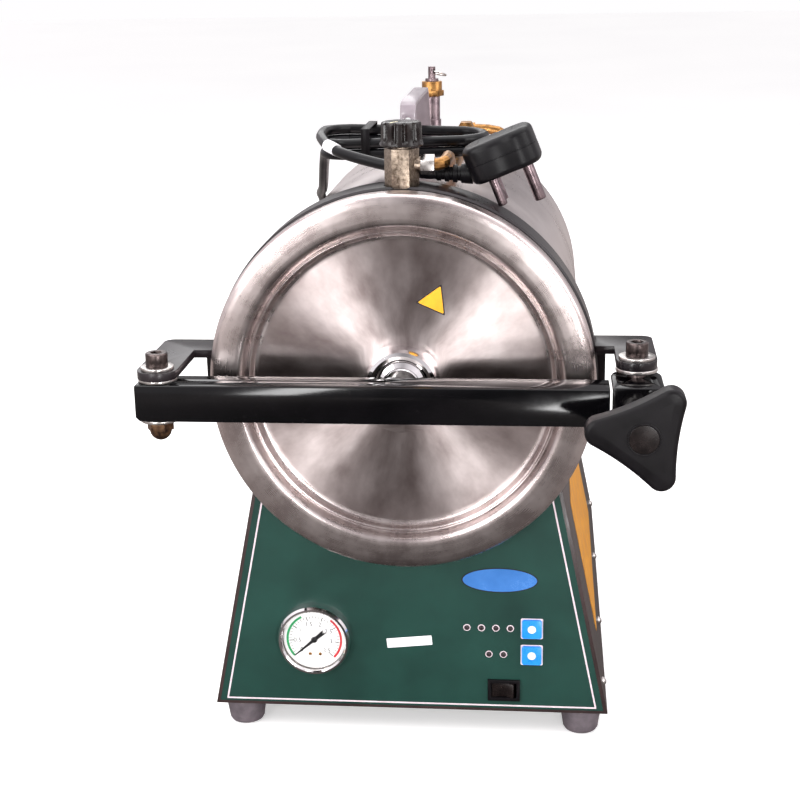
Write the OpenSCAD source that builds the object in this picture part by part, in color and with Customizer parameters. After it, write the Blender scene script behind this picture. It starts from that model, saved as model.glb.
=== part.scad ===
// Bench-top steam steriliser: a horizontal drum on a splayed cabinet, closed by a dished lid
// that hangs on a swinging crossbar and is clamped by a tri-lobe knob.
// Millimetres, +Z up, +Y towards the back. The origin is on the bench under the middle of the
// machine's box. Inside place() every position is measured from the drum's axis at the lid's face.

/* [Machine] */
// Height of the drum's axis above the bench
axis_h = 300; // [290:1:340]
// Sideways offset of the drum's axis from the middle of the box
shift_x = -4.9; // [-20:0.1:20]
// Offset of the lid's face from the middle of the box
shift_y = -205.5; // [-260:0.1:-150]

/* [Lid] */
// Outer radius of the lid
lid_r = 143; // [136:0.5:143.5]
// Depth of the lid's rolled skirt
lid_depth = 18.5; // [17:0.5:20]
// Sheet thickness of the flat rim
lid_sheet = 2.8; // [1.5:0.1:4]
// Radius where the flat rim ends and the grooves begin
rim_inner_r = 121; // [119:0.5:126]
// Radius of the inner dish
dish_r = 112; // [100:0.5:114]
// Depth of the inner dish below the rim
dish_depth = 15; // [8:0.5:15.2]
// Radius of the chromed hub
hub_r = 28.5; // [20:0.5:40]
// Radius of the stud's shoulder
shoulder_r = 10.3; // [9:0.1:14]
// Radius of the stud inside the crossbar
stud_r = 6.5; // [5:0.1:8]

/* [Drum] */
// Outer radius of the door ring
ring_r = 144.5; // [144:0.5:150]
// Distance of the door ring behind the lid's face
ring_front = 22; // [22:0.5:26]
// Depth of the door ring
ring_depth = 35; // [26:0.5:40]
// Outer radius of the drum jacket
drum_r = 133.5; // [128:0.5:138]
// Distance of the drum's back behind the lid's face
drum_back = 422; // [400:1:440]
// Inner radius of the pressure chamber
chamber_r = 115; // [110:0.5:116]
// Wall of the pressure chamber
chamber_wall = 2.5; // [1.5:0.1:4]
// Distance of the chamber's inner end behind the lid's face
chamber_back = 372; // [350:1:385]
// Thickness of jacket and cabinet sheet
sheet = 1.2; // [0.8:0.1:2]

/* [Cabinet] */
// Distance of the front panel's face behind the lid's face
cab_front = 33; // [28:0.5:38]
// Distance of the cabinet's back behind the lid's face
cab_back = 502; // [480:1:540]
// Half width of the cabinet at its foot
cab_foot_half = 158; // [150:0.5:175]
// Half width of the cabinet at its shoulder
cab_top_half = 115; // [108:0.5:125]
// Distance of the shoulder below the drum's axis
shoulder_drop = 68; // [60:1:80]
// Height of the rubber feet
foot_h = 22.5; // [16:0.5:26]
// Radius of the feet at the top
foot_r = 16.5; // [12:0.5:20]

/* [Crossbar] */
// Height of the crossbar
bar_h = 27; // [24:0.5:32]
// Depth of the crossbar
bar_d = 28; // [26:0.5:32]
// Wall of the crossbar
bar_wall = 4; // [3:0.5:5]
// Distance of the crossbar's middle in front of the lid's face
bar_mid = 33; // [32:0.5:38]
// Sideways distance of the hinge bolt from the axis
hinge_x = 172.5; // [168:0.5:180]
// Sideways distance of the latch bolt from the axis
latch_x = 170; // [169:0.5:180]
// Distance of the latch bolt in front of the lid's face
latch_fwd = 13; // [10:0.5:16]
// Radius of both pivot bolts
bolt_r = 5; // [4:0.5:6]
// Thickness of the two hinge ears
ear_t = 6; // [4:0.5:8]

/* [Latch and clamp] */
// Half width of the latch channel
latch_half = 18; // [16:0.5:18]
// Height of the latch channel
latch_h = 30; // [28:0.5:34]
// Plate thickness of the latch channel
latch_t = 3; // [2:0.5:4]
// Gap between crossbar and latch channel
seam = 1.5; // [1:0.1:3]
// Distance of the clamp knob's face in front of the lid's face
knob_fwd = 116; // [110:1:130]
// Thickness of the clamp knob
knob_t = 17; // [12:0.5:22]
// Reach of a lobe from the knob's middle
lobe_r = 39; // [37:0.5:44]
// Radius of the knob's waist
waist_r = 22.5; // [18:0.5:23]
// Radius of the clamp screw
screw_r = 6; // [4:0.5:7]

/* [Top fittings] */
// Width of the valve column across its flats
column_af = 22; // [19:0.5:24]
// Height of the valve column above its seat
column_h = 28; // [24:0.5:34]
// Radius of the fluted valve knob
valve_knob_r = 16; // [13:0.5:18]
// Distance of the safety valve behind the lid's face
relief_y = 340; // [310:1:360]
// Width of the carrying handle's strap
strap_w = 12; // [10:0.5:16]
// Height of the carrying handle above the drum
handle_h = 65; // [55:1:75]

/* [Gauge and controls] */
// Radius of the gauge's bezel
bezel_r = 29.9; // [28:0.1:32]
// Side of the two square buttons
button_w = 15.5; // [12:0.5:17]
// Travel of the two square buttons
button_travel = 1.5; // [0.5:0.1:2]
// Width of the rocker switch's bezel
rocker_w = 25.5; // [24:0.5:28]
// Tilt of the rocker in its off position
rocker_tilt = 8; // [5:1:9]

/* [Cord] */
// Radius of the mains cord
cord_r = 4.2; // [3.5:0.1:4.2]

/* [Hidden] */
$fn = 64;

fit = 0.05;                                  // radial running clearance of a shaft in its hole
gap = 0.3;                                   // clearance between neighbouring pieces
bench = -axis_h;                             // the bench, seen from the axis
cab_floor = bench + foot_h;                  // underside of the cabinet
cab_shoulder = -shoulder_drop;               // top of the cabinet's splayed sides
splay = (cab_foot_half - cab_top_half) / (cab_shoulder - cab_floor);
ring_back = ring_front + ring_depth;
chamber_out = chamber_r + chamber_wall;
crown = drum_r;                              // height of the drum's top above the axis
panel_t = 2;                                 // front and rear panel sheet
overlay_t = 0.5;                             // printed overlay on the front panel
overlay_y = cab_front - overlay_t;           // face of the overlay
bar_front = -bar_mid - bar_d / 2;
bar_back = -bar_mid + bar_d / 2;
bar_left = -hinge_x - bar_d / 2 - 0.5;
bar_right = latch_x - latch_half - seam;
ear_half = 14.5;                             // half width of an ear's arm
washer_r = 14;
washer_t = 2.5;
left_ear_z = bar_h / 2 + washer_t;           // underside of the left ear
right_ear_z = latch_h / 2 + 4 + washer_t;    // underside of the right ear
head_r = 8;                                  // cap screw head
head_h = 10;
bush_r = 6.5;
seat_z = ring_r - 1.5;                       // flat under the valve column
column_top = seat_z + column_h;
relief_seat = crown + 2;
grip_z = crown + handle_h;                   // top of the carrying handle
gauge_pos = [-75, -216.5];
start_pos = [97.3, -204.8];
select_pos = [97.3, -227.4];
rocker_pos = [75.5, -258.2];
lamp_r = 2;
lamp_spots = [for (i = [0:3]) [46.2 + 11.4 * i, -205], for (i = [0:1]) [63.6 + 11.4 * i, -227.5]];
hank_mid = [-11, 177];                       // middle of the stored hank, seen from above
hank_half = 40;                              // half length of its straight runs
hank_bend = 6 * cord_r;                      // radius of its folds
hank_layers = 3;
hank_z = crown + 12.5;                       // the hank lies on the steam pipe
hank_top = hank_z + 2 * cord_r * hank_layers;
gland_pos = [-100, -222];
plug_mid = [72, 50, crown + 32];
plug_tilt = -22;
relief_tip = [24, 52, crown + 16.5];           // free end of the plug's strain relief

// Route of the cord from the rear gland up over the drum's left shoulder to the hank
rise_route = [
  [-100, 528, -222], [-100, 544, -222], [-102, 562, -215], [-106, 573, -195], [-110, 577, -165],
  [-114, 576, -125], [-118, 568, -80], [-121, 552, -35], [-123, 528, 5], [-122, 500, 36],
  [-120, 466, 58], [-117, 430, 74], [-113, 395, 82], [-108, 360, 89], [-102, 325, 96],
  [-96, 292, 103], [-91, 262, 111], [-87, 238, 121], [-83, 215, 134], [-79.5, 197, 144.5]
];
// Route of the cord from the hank round the valve column to the plug
lead_route = [
  [-75.5, 152.5, 166.4], [-73, 141, 165], [-66, 123, 162], [-55, 107, 159],
  [-41, 94, 156.5], [-25, 83, 154], [-9, 72, 152], [5, 61, 150.7], [14, 54, 150.1],
  [20, 52, 150], [23.9, 52, 150]
];

function half_w(z) = cab_foot_half - splay * (z - cab_floor);
function unit(v) = v / norm(v);

// Moves what is drawn from the drum's axis into the machine's frame
module place() { translate([shift_x, shift_y, axis_h]) children(); }

// Round bar along Y
module rod_y(r, y0, y1, x = 0, z = 0) {
  translate([x, y0, z]) rotate([-90, 0, 0]) cylinder(r = r, h = y1 - y0);
}

// Round bar along Z
module rod_z(r, z0, z1, x = 0, y = 0) {
  translate([x, y, z0]) cylinder(r = r, h = z1 - z0);
}

// Ring around the drum's axis
module ring_y(r_in, r_out, y0, y1) {
  difference() {
    rod_y(r_out, y0, y1);
    rod_y(r_in, y0 - 1, y1 + 1);
  }
}

// Profile of radius and depth turned around the drum's axis
module turned_y() { rotate([-90, 0, 0]) rotate_extrude() children(); }

// Slab given by its lowest and highest corner
module slab(a, b) { translate(a) cube(b - a); }

// Splayed prism of the cabinet's section, inset by a clearance
module splayed(inset, z0, z1, y0, y1) {
  low = half_w(z0) - inset;
  high = half_w(z1) - inset;
  translate([0, y1, 0]) rotate([90, 0, 0]) linear_extrude(y1 - y0)
    polygon([[-low, z0], [low, z0], [high, z1], [-high, z1]]);
}

// Outline in X and Z pushed back from y0 to y1
module pushed(y0, y1) { translate([0, y1, 0]) rotate([90, 0, 0]) linear_extrude(y1 - y0) children(); }

// Round tube carried along a route that never runs parallel to the axis across
module swept(route, r, across, sides = 10) {
  count = len(route);
  function heading(i) = unit(route[min(i + 1, count - 1)] - route[max(i - 1, 0)]);
  rings = [for (i = [0:count - 1])
    let (t = heading(i), u = unit(cross(t, across)), v = cross(t, u))
      for (k = [0:sides - 1]) route[i] + r * (cos(360 * k / sides) * u + sin(360 * k / sides) * v)];
  walls = [for (i = [0:count - 2], k = [0:sides - 1])
    let (n = (k + 1) % sides)
      [i * sides + k, i * sides + n, (i + 1) * sides + n, (i + 1) * sides + k]];
  first = [for (k = [sides - 1:-1:0]) k];
  last = [for (k = [0:sides - 1]) (count - 1) * sides + k];
  polyhedron(rings, concat([first], walls, [last]));
}

// ---- Cabinet ----

module base_tray() {
  wall_top = cab_floor + 24;
  color("dimgray") place() difference() {
    splayed(sheet + gap, cab_floor, wall_top, cab_front + panel_t + gap, cab_back - panel_t - gap);
    splayed(2 * sheet + gap, cab_floor + sheet, wall_top + 1, cab_front + panel_t + gap + sheet,
      cab_back - panel_t - gap - sheet);
    slab([-cab_foot_half, cab_front, cab_floor + 9], [cab_foot_half, cab_front + 12, wall_top + 1]);
  }
}

module cabinet_shell() {
  y0 = cab_front + panel_t;
  y1 = cab_back - panel_t;
  color([0.17, 0.11, 0.12]) place() difference() {
    splayed(0, cab_floor, cab_shoulder, y0, y1);
    splayed(sheet, cab_floor - 1, cab_shoulder - sheet, y0 - 1, y1 + 1);
    rod_y(ring_r + gap, y0 - 2, ring_back + gap);
    rod_y(drum_r + gap, ring_back, drum_back + gap);
  }
}

module front_panel() {
  color([0.29, 0.2, 0.2]) place() difference() {
    splayed(0, cab_floor, cab_shoulder, cab_front, cab_front + panel_t);
    rod_y(ring_r + gap, cab_front - 1, cab_front + panel_t + 1);
    panel_openings(0.4);
  }
}

// Cut-outs shared by the front panel and its overlay
module panel_openings(slack) {
  y0 = overlay_y - 2;
  y1 = cab_front + panel_t + 2;
  rod_y(bezel_r - 3, y0, y1, gauge_pos.x, gauge_pos.y);
  for (p = lamp_spots) rod_y(lamp_r + 0.1, y0, y1, p.x, p.y);
  w = button_w / 2 + slack;
  for (p = [start_pos, select_pos]) slab([p.x - w, y0, p.y - w], [p.x + w, y1, p.y + w]);
  slab([rocker_pos.x - 11, y0, rocker_pos.y - 7.5], [rocker_pos.x + 11, y1, rocker_pos.y + 7.5]);
}

module panel_overlay() {
  margin = 3;
  color([0.09, 0.26, 0.24]) place() difference() {
    splayed(margin, cab_floor + margin, cab_shoulder, overlay_y, cab_front);
    rod_y(ring_r + gap, overlay_y - 1, cab_front + 1);
    panel_openings(0.4);
  }
}

module rear_panel() {
  color([0.17, 0.11, 0.12]) place() difference() {
    splayed(0, cab_floor, cab_shoulder, cab_back - panel_t, cab_back);
    rod_y(8, cab_back - panel_t - 1, cab_back + 1, gland_pos.x, gland_pos.y);
    for (i = [0:8]) slab([10, cab_back - panel_t - 1, -212 + 12 * i], [80, cab_back + 1, -208 + 12 * i]);
  }
}

foot_spots = [for (sx = [-1, 1], y = [cab_front + 20, cab_back - 24]) [sx * 137, y]];

module rubber_feet() {
  color([0.33, 0.28, 0.3]) place() for (p = foot_spots) translate([p.x, p.y, bench])
    rotate_extrude() polygon([[0, 3], [5, 3], [5, 0], [foot_r - 5.5, 0], [foot_r - 3.6, 1],
      [foot_r - 2.4, 3], [foot_r - 0.5, foot_h - 7], [foot_r, foot_h - 2.5], [foot_r, foot_h], [0, foot_h]]);
}

side_screw_y = [cab_front + 30, 180, 330, cab_back - 24];

module cabinet_screws() {
  lean = atan(splay);
  z = cab_floor + 14;
  color("silver") place() for (sx = [-1, 1], y = side_screw_y)
    translate([sx * half_w(z), y, z]) rotate([0, sx * (90 - lean), 0]) intersection() {
      translate([0, 0, -1.6]) sphere(r = 4.2);
      translate([0, 0, 0.02]) cylinder(r = 5, h = 5);
    }
}

module side_label() {
  lean = atan(splay);
  z = -184;
  color([0.72, 0.48, 0]) place() translate([half_w(z), 0, z]) rotate([0, 90 - lean, 0])
    slab([-58, cab_front + 77, 0.02], [58, cab_front + 357, 0.42]);
}

// ---- Drum ----

// Hole through the drum's top where the safety valve stands
module relief_hole(r) { rod_z(r, 0, crown + 10, 0, relief_y); }

module drum_jacket() {
  color([0.83, 0.78, 0.78]) place() difference() {
    ring_y(drum_r - sheet, drum_r, ring_back, drum_back - 2);
    relief_hole(7);
    rotate([0, -28, 0]) slab([drum_r - 3, 299, -12], [drum_r + 3, 301.5, 12]);
  }
}

module drum_rear_cover() {
  lip = 8;
  color([0.35, 0.28, 0.3]) place() union() {
    rod_y(drum_r, drum_back - 2, drum_back);
    ring_y(drum_r - 2 * sheet - gap, drum_r - sheet - gap, drum_back - 2 - lip, drum_back - 2);
  }
}

module insulation_blanket() {
  color([0.85, 0.82, 0.7]) place() difference() {
    ring_y(chamber_out + gap, drum_r - 2 * sheet - 2 * gap, ring_back + gap, drum_back - 30);
    relief_hole(7);
  }
}

module chamber_vessel() {
  r = chamber_out;
  e = chamber_back;
  w = chamber_wall;
  color([0.8, 0.8, 0.82]) place() difference() {
    turned_y() polygon([[chamber_r, ring_front + gap], [r, ring_front + gap], [r, e - 12],
      [r - 6, e - 2], [r - 16, e + w], [0, e + w], [0, e], [r - 18, e], [r - 9, e - 4],
      [chamber_r, e - 13]]);
    rod_z(4, 0, chamber_out + 5, 0, relief_y);
  }
}

module door_ring() {
  soft = 1.5;
  color([0.16, 0.13, 0.15]) place() difference() {
    turned_y() polygon([[chamber_out + fit, ring_front], [ring_r - soft, ring_front],
      [ring_r, ring_front + soft], [ring_r, ring_back - soft], [ring_r - soft, ring_back],
      [chamber_out + fit, ring_back]]);
    rod_z(column_af * 0.62, seat_z, ring_r + 2, 0, ring_front + 13);
    rod_z(3, chamber_out - 3, ring_r, 0, ring_front + 13);
  }
}

// Ear plate: an arm forward over a pivot bolt, rooted on the door ring
module ear(side, bolt_x, bolt_y, z0) {
  back = ring_back - 2;
  outer = bolt_x + ear_half;
  difference() {
    translate([0, 0, z0]) linear_extrude(ear_t) difference() {
      union() {
        translate([side * bolt_x, bolt_y]) circle(r = ear_half);
        mirrored(side) translate([bolt_x - ear_half, bolt_y]) square([2 * ear_half, back - 8 - bolt_y]);
        mirrored(side) translate([ring_r - 12, ring_front]) square([outer - 8 - ring_r + 12, back - ring_front]);
        mirrored(side) translate([outer - 8, back - 8]) circle(r = 8);
        mirrored(side) translate([outer - 16, back - 16]) square(9);
      }
    }
    rod_y(ring_r + fit, ring_front - 1, ring_back + 1);
    rod_z(bolt_r + fit, z0 - 1, z0 + ear_t + 1, side * bolt_x, bolt_y);
  }
}

module mirrored(side) { mirror([side < 0 ? 1 : 0, 0, 0]) children(); }

// Upright web that ties an ear to the ring's flank
module ear_web(side, z0) {
  difference() {
    mirrored(side) slab([ring_r - 20, ring_front + 4, -12], [ring_r + 5, ring_back - 4, z0]);
    rod_y(ring_r + fit, ring_front - 1, ring_back + 1);
  }
}

module hinge_bracket() {
  color([0.42, 0.35, 0.38]) place() union() {
    ear(-1, hinge_x, -bar_mid, left_ear_z);
    ear_web(-1, left_ear_z);
  }
}

module latch_bracket() {
  color([0.42, 0.35, 0.38]) place() union() {
    ear(1, latch_x, -latch_fwd, right_ear_z);
    ear_web(1, right_ear_z);
  }
}

module drum_saddles() {
  color("dimgray") place() for (y = [130, 360]) difference() {
    splayed(2 * (sheet + gap), cab_floor + sheet, cab_shoulder - 20, y, y + 3);
    rod_y(drum_r + gap, y - 1, y + 4);
    for (sx = [-1, 1]) rod_y(18, y - 1, y + 4, sx * 60, -190);
  }
}

// ---- Inside the chamber ----

tray_w = 84;                                 // half width of a tray
tray_z = [-48, -12, 24];
rack_front = ring_front + 30;
rack_back = chamber_back - 30;

module tray_rack() {
  ledge = 8;
  side_in = tray_w + 1;
  color("silver") place() union() {
    for (sx = [-1, 1]) {
      mirrored(sx) slab([side_in, rack_front, -68], [side_in + 1.5, rack_back, 45]);
      for (z = tray_z) mirrored(sx) slab([side_in - ledge, rack_front, z - 2], [side_in, rack_back, z - 0.5]);
    }
    for (y = [rack_front + 20, rack_back - 30]) slab([-side_in, y, -68], [side_in, y + 10, -66.5]);
  }
}

module instrument_trays() {
  depth = 14;
  color("lightgray") place() for (z = tray_z) difference() {
    slab([-tray_w, rack_front + 2, z - 0.2], [tray_w, rack_back - 2, z + depth]);
    slab([-tray_w + 1.2, rack_front + 3.2, z + 1], [tray_w - 1.2, rack_back - 3.2, z + depth + 1]);
    for (x = [-54, -18, 18, 54], y = [90, 140, 190, 240, 290]) rod_z(6, z - 1, z + 2, x, y);
  }
}

module heater_element() {
  r = 4;
  x = 34;
  z = -88;
  y0 = rack_front + 40;
  color("gray") place() union() {
    for (sx = [-1, 1]) rod_y(r, y0, chamber_back - 0.1, sx * x, z);
    translate([0, y0, z]) rotate([0, 0, 180]) rotate_extrude(angle = 180) translate([x, 0]) circle(r = r);
  }
}

module temperature_probe() {
  color("silver") place() union() {
    rod_y(3, chamber_back - 70, chamber_back - 6, -70, -62);
    rod_y(6, chamber_back - 6, chamber_back - 0.1, -70, -62);
  }
}

// ---- Pivots ----

pivots = [
  [-hinge_x, -bar_mid, left_ear_z + ear_t + washer_t, -bar_h / 2 - washer_t - 9],
  [latch_x, -latch_fwd, right_ear_z + ear_t + washer_t, -latch_h / 2 - washer_t - 9]
];

module pivot_bolts() {
  color([0.25, 0.2, 0.2]) place() for (p = pivots) translate([p.x, p.y, 0]) difference() {
    union() {
      rod_z(bolt_r, p[3], p[2] + 0.01);
      translate([0, 0, p[2]]) rotate_extrude() polygon([[0, 0], [head_r, 0], [head_r, head_h - 0.8],
        [head_r - 0.8, head_h], [0, head_h]]);
    }
    translate([0, 0, p[2] + head_h - 5]) cylinder(r = 4.6, h = 6, $fn = 6);
  }
}

module washer(r_out, z0, x, y, t = washer_t) {
  difference() {
    rod_z(r_out, z0, z0 + t, x, y);
    rod_z(bolt_r + fit, z0 - 1, z0 + t + 1, x, y);
  }
}

module bolt_washers() {
  top = 12;
  color("silver") place() union() {
    washer(top, left_ear_z + ear_t, -hinge_x, -bar_mid);
    washer(washer_r, bar_h / 2 + gap, -hinge_x, -bar_mid, washer_t - gap);
    washer(washer_r, -bar_h / 2 - washer_t, -hinge_x, -bar_mid, washer_t - gap);
    washer(top + 1, right_ear_z + ear_t, latch_x, -latch_fwd);
    washer(washer_r + 1, right_ear_z - washer_t, latch_x, -latch_fwd);
    washer(washer_r, -latch_h / 2 - washer_t, latch_x, -latch_fwd, washer_t - gap);
  }
}

module dome_nuts() {
  hex_h = 7;
  nut_r = 9.8;
  color([0.3, 0.2, 0.17]) place() for (p = pivots) translate([p.x, p.y, 0]) difference() {
    top = p[3] + 9;
    union() {
      translate([0, 0, top - hex_h]) cylinder(r = nut_r, h = hex_h, $fn = 6);
      intersection() {
        translate([0, 0, top - hex_h]) sphere(r = 8);
        rod_z(9, top - hex_h - 8, top - hex_h + 0.01);
      }
    }
    rod_z(bolt_r + 0.01, p[3] - 0.01, top + 1);
  }
}

module latch_bush() {
  color([0.2, 0.17, 0.18]) place() washer(bush_r, -latch_h / 2 - gap, latch_x, -latch_fwd, latch_h + 4 + gap);
}

// ---- Crossbar and lid ----

groove_w = 2.3;                              // half width of the stud's retaining groove
pin_r = 2;
pin_x = -stud_r + 0.4;

module crossbar() {
  half = bar_h / 2;
  pivot_hole = bolt_r + fit;
  color([0.06, 0.05, 0.06]) place() difference() {
    pushed(bar_front, bar_back) polygon([[bar_left, half - 1], [bar_left + 1, half], [bar_right, half],
      [bar_right, -half], [bar_left + 3, -half], [bar_left, 3 - half]]);
    slab([bar_left + 36, bar_front + bar_wall, -half + bar_wall],
      [bar_right - 5, bar_back - bar_wall, half - bar_wall]);
    rod_z(pivot_hole, -half - 1, half + 1, -hinge_x, -bar_mid);
    rod_y(stud_r + fit, -bar_mid, bar_back + 1);
    rod_z(pin_r + 0.01, -half - 1, half + 1, pin_x, -bar_mid);
  }
}

module lid_pin() {
  color("dimgray") place() rod_z(pin_r, -bar_h / 2 + 0.4, bar_h / 2 - 0.2, pin_x, -bar_mid);
}

gasket_in = 118;
gasket_out = 126;

module lid_disc() {
  d = dish_depth;
  t = lid_sheet;
  r = lid_r;
  land = gasket_out + 3;
  color([0.75, 0.68, 0.68]) place() turned_y() polygon([
    [0, d], [dish_r - 4, d], [dish_r, d - 1.5], [dish_r + 1, d - 7], [dish_r + 3.2, d - 8],
    [dish_r + 4, d - 6.5], [dish_r + 5, d - 8.5], [rim_inner_r - 2, 2], [rim_inner_r, 0],
    [r - 4, 0], [r - 1.2, 1], [r, 4], [r, lid_depth], [r - t, lid_depth], [r - t, t + 2],
    [r - t - 2, t], [land, t], [land, lid_depth + 1], [gasket_out + 0.2, lid_depth + 1],
    [gasket_out + 0.2, lid_depth - 2], [gasket_in - 0.2, lid_depth - 2],
    [gasket_in - 0.2, lid_depth + 1], [0, lid_depth + 1]]);
}

module lid_gasket() {
  color([0.85, 0.83, 0.8]) place() ring_y(gasket_in, gasket_out, lid_depth - 2, ring_front - gap);
}

module lid_hub() {
  d = dish_depth;
  r = hub_r;
  color([0.8, 0.8, 0.83]) place() turned_y() polygon([
    [shoulder_r + fit, d], [r, d], [r, d - 4], [r - 0.8, d - 9], [r - 2.5, d - 12], [r - 5, d - 13],
    [r - 7.5, d - 12], [r - 9, d - 9.5], [r - 10, d - 9], [r - 14, d - 11.5], [shoulder_r + 3, d - 13],
    [shoulder_r + fit, d - 13]]);
}

module lid_stud() {
  s = stud_r;
  g = groove_w;
  color([0.7, 0.66, 0.68]) place() turned_y() polygon([
    [0, -bar_mid - 6], [s - 1, -bar_mid - 6], [s, -bar_mid - 5], [s, -bar_mid - g],
    [s - 2.6, -bar_mid - g], [s - 2.6, -bar_mid + g], [s, -bar_mid + g], [s, bar_back + gap],
    [shoulder_r, bar_back + gap], [shoulder_r, dish_depth], [0, dish_depth]]);
}

// ---- Latch and clamp ----

module latch_plate(z0) {
  translate([0, 0, z0]) linear_extrude(latch_t) union() {
    translate([latch_x, -latch_fwd]) circle(r = latch_half);
    translate([latch_x - latch_half, bar_front]) square([2 * latch_half, -latch_fwd - bar_front]);
  }
}

module latch_channel() {
  front_t = 4;
  color([0.08, 0.07, 0.08]) place() difference() {
    union() {
      latch_plate(latch_h / 2 - latch_t);
      latch_plate(-latch_h / 2);
      slab([latch_x - latch_half, bar_front, -latch_h / 2],
        [latch_x + latch_half, bar_front + front_t, latch_h / 2]);
      rod_y(11, bar_front, bar_front + 12, latch_x, 0);
    }
    rod_z(bush_r + fit, -latch_h, latch_h, latch_x, -latch_fwd);
    rod_y(screw_r + fit, bar_front - 1, bar_front + 13, latch_x, 0);
  }
}

module clamp_screw() {
  color("gray") place() rod_y(screw_r, -knob_fwd + knob_t - 1 + gap, bar_front + 16, latch_x, 0);
}

// Outline of the tri-lobe knob: round tips joined by shallow hollows that are tangent to them
module lobed() {
  tip = 9.5;
  reach = lobe_r - tip;
  dip = waist_r - tip;
  far = (reach * reach - dip * dip) / (reach - 2 * dip);
  angles = [54, 174, 294];
  difference() {
    union() {
      polygon([for (a = angles, s = [-60, 60]) reach * [cos(a), sin(a)] + tip * [cos(a + s), sin(a + s)]]);
      for (a = angles) translate(reach * [cos(a), sin(a)]) circle(r = tip);
    }
    for (a = angles) translate(far * [cos(a + 60), sin(a + 60)]) circle(r = far - waist_r, $fn = 180);
  }
}

module clamp_knob() {
  color([0.12, 0.1, 0.11]) place() translate([latch_x, 0, 0]) difference() {
    union() {
      pushed(-knob_fwd, -knob_fwd + knob_t) lobed();
      rod_y(14, -knob_fwd + knob_t - 0.01, -knob_fwd + knob_t + 12);
      rod_y(10.5, -knob_fwd - 1, -knob_fwd + 0.01);
    }
    rod_y(screw_r + fit, -knob_fwd + knob_t - 1, -knob_fwd + knob_t + 13);
  }
}

// ---- Fittings on top ----

column_y = ring_front + 13;
spigot_z = seat_z + 16;                      // axis of the column's steam outlet

module valve_column() {
  hex_r = column_af / 2 / cos(30);
  color([0.62, 0.5, 0.42]) place() difference() {
    union() {
      translate([0, column_y, seat_z]) cylinder(r = hex_r, h = column_h, $fn = 6);
      rod_z(7, column_top - 0.01, column_top + 1.5, 0, column_y);
      translate([0, column_y, spigot_z]) rotate([0, 90, 0]) cylinder(r = 5.6, h = 13.9);
    }
    rod_z(4 + fit, column_top - 14, column_top + 3, 0, column_y);
    rod_z(3, seat_z - 1, column_top - 14, 0, column_y);
  }
}

module valve_knob() {
  flutes = 12;
  base = column_top + 1.8;
  r = valve_knob_r;
  color([0.1, 0.09, 0.1]) place() translate([0, column_y, 0]) union() {
    difference() {
      translate([0, 0, base]) rotate_extrude() polygon([[0, 0], [r, 0], [r, 1.6], [r - 1.2, 4],
        [r - 1.4, 16.5], [r - 2.4, 17.5], [0, 17.5]]);
      for (i = [0:flutes - 1]) rotate([0, 0, (i + 0.5) * 360 / flutes])
        rod_z(2.2, base + 3.6, base + 20, r - 0.2, 0);
    }
    rod_z(4, column_top - 12, base + 0.01);
  }
}

pipe_r = 4.5;
pipe_route = [
  [24.1, column_y, spigot_z], [25.6, column_y, spigot_z], [28.5, 36, crown + 26], [31, 40, crown + 27], [32, 47, crown + 28],
  [32.5, 55, crown + 28.5], [32.5, 64, crown + 27], [32.5, 74, crown + 23], [32, 86, crown + 18],
  [31.5, 100, crown + 13], [31, 116, crown + 9.5], [31, 136, crown + 7.5], [31, 180, crown + 7.5],
  [31, 230, crown + 7.5], [30, 280, crown + 7.5], [29, 330, crown + 7.5], [28, 370, crown + 8.5],
  [28, 385.5, crown + 9], [28, 387.9, crown + 9]
];
drop_route = [
  [36, 412, crown + 9], [38.5, 412, crown + 9], [48, 413, crown + 8.5], [58, 414, crown + 6.5], [67, 417, crown + 1],
  [74, 423, crown - 8], [78, 430, crown - 20], [80, 434, crown - 36], [80, 434, crown - 80],
  [80, 434, cab_shoulder + 0.2]
];

module exhaust_pipe() {
  color([0.75, 0.5, 0.25]) place() union() {
    swept(pipe_route, pipe_r, [0, 0, 1], 14);
    swept(drop_route, pipe_r, [0, 1, 0], 14);
  }
}

module brass_fittings() {
  color([0.78, 0.54, 0.2]) place() union() {
    // union nut between the column and the steam pipe
    translate([14, column_y, spigot_z]) rotate([0, 90, 0]) cylinder(r = 7.4, h = 10, $fn = 6);
    // compression hex and elbow at the back
    translate([28, 404, crown + 9]) rotate([90, 0, 0]) cylinder(r = 9.5, h = 16, $fn = 6);
    rod_y(6, 403.9, 412, 28, crown + 9);
    translate([28, 412, crown + 9]) sphere(r = 6);
    translate([28, 412, crown + 9]) rotate([0, 90, 0]) cylinder(r = 6, h = 7.9);
    // small bracket nut on the crown
    translate([14, 392, crown + 0.1]) cylinder(r = 6, h = 12, $fn = 6);
  }
}

module relief_body() {
  color([0.55, 0.45, 0.46]) place() translate([0, relief_y, 0]) difference() {
    union() {
      rod_z(6, chamber_out + 0.3, relief_seat);
      translate([0, 0, relief_seat]) cylinder(r = 11, h = 10, $fn = 6);
      rod_z(8.2, relief_seat + 9.9, relief_seat + 24);
      rod_z(7.2, relief_seat + 23.9, relief_seat + 45);
    }
    rod_z(3.5, chamber_out - 2, relief_seat + 46);
  }
}

relief_top = relief_seat + 45;
lift_r = 3.3;                                // radius of the safety valve's lifting stem

module relief_cap() {
  color([0.72, 0.46, 0.2]) place() translate([0, relief_y, relief_top]) difference() {
    union() {
      cylinder(r = 11, h = 5, $fn = 6);
      rod_z(9.2, 4.9, 13);
    }
    rod_z(lift_r + fit, -1, 14);
  }
}

ring_hole_z = relief_top + 22;

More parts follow.
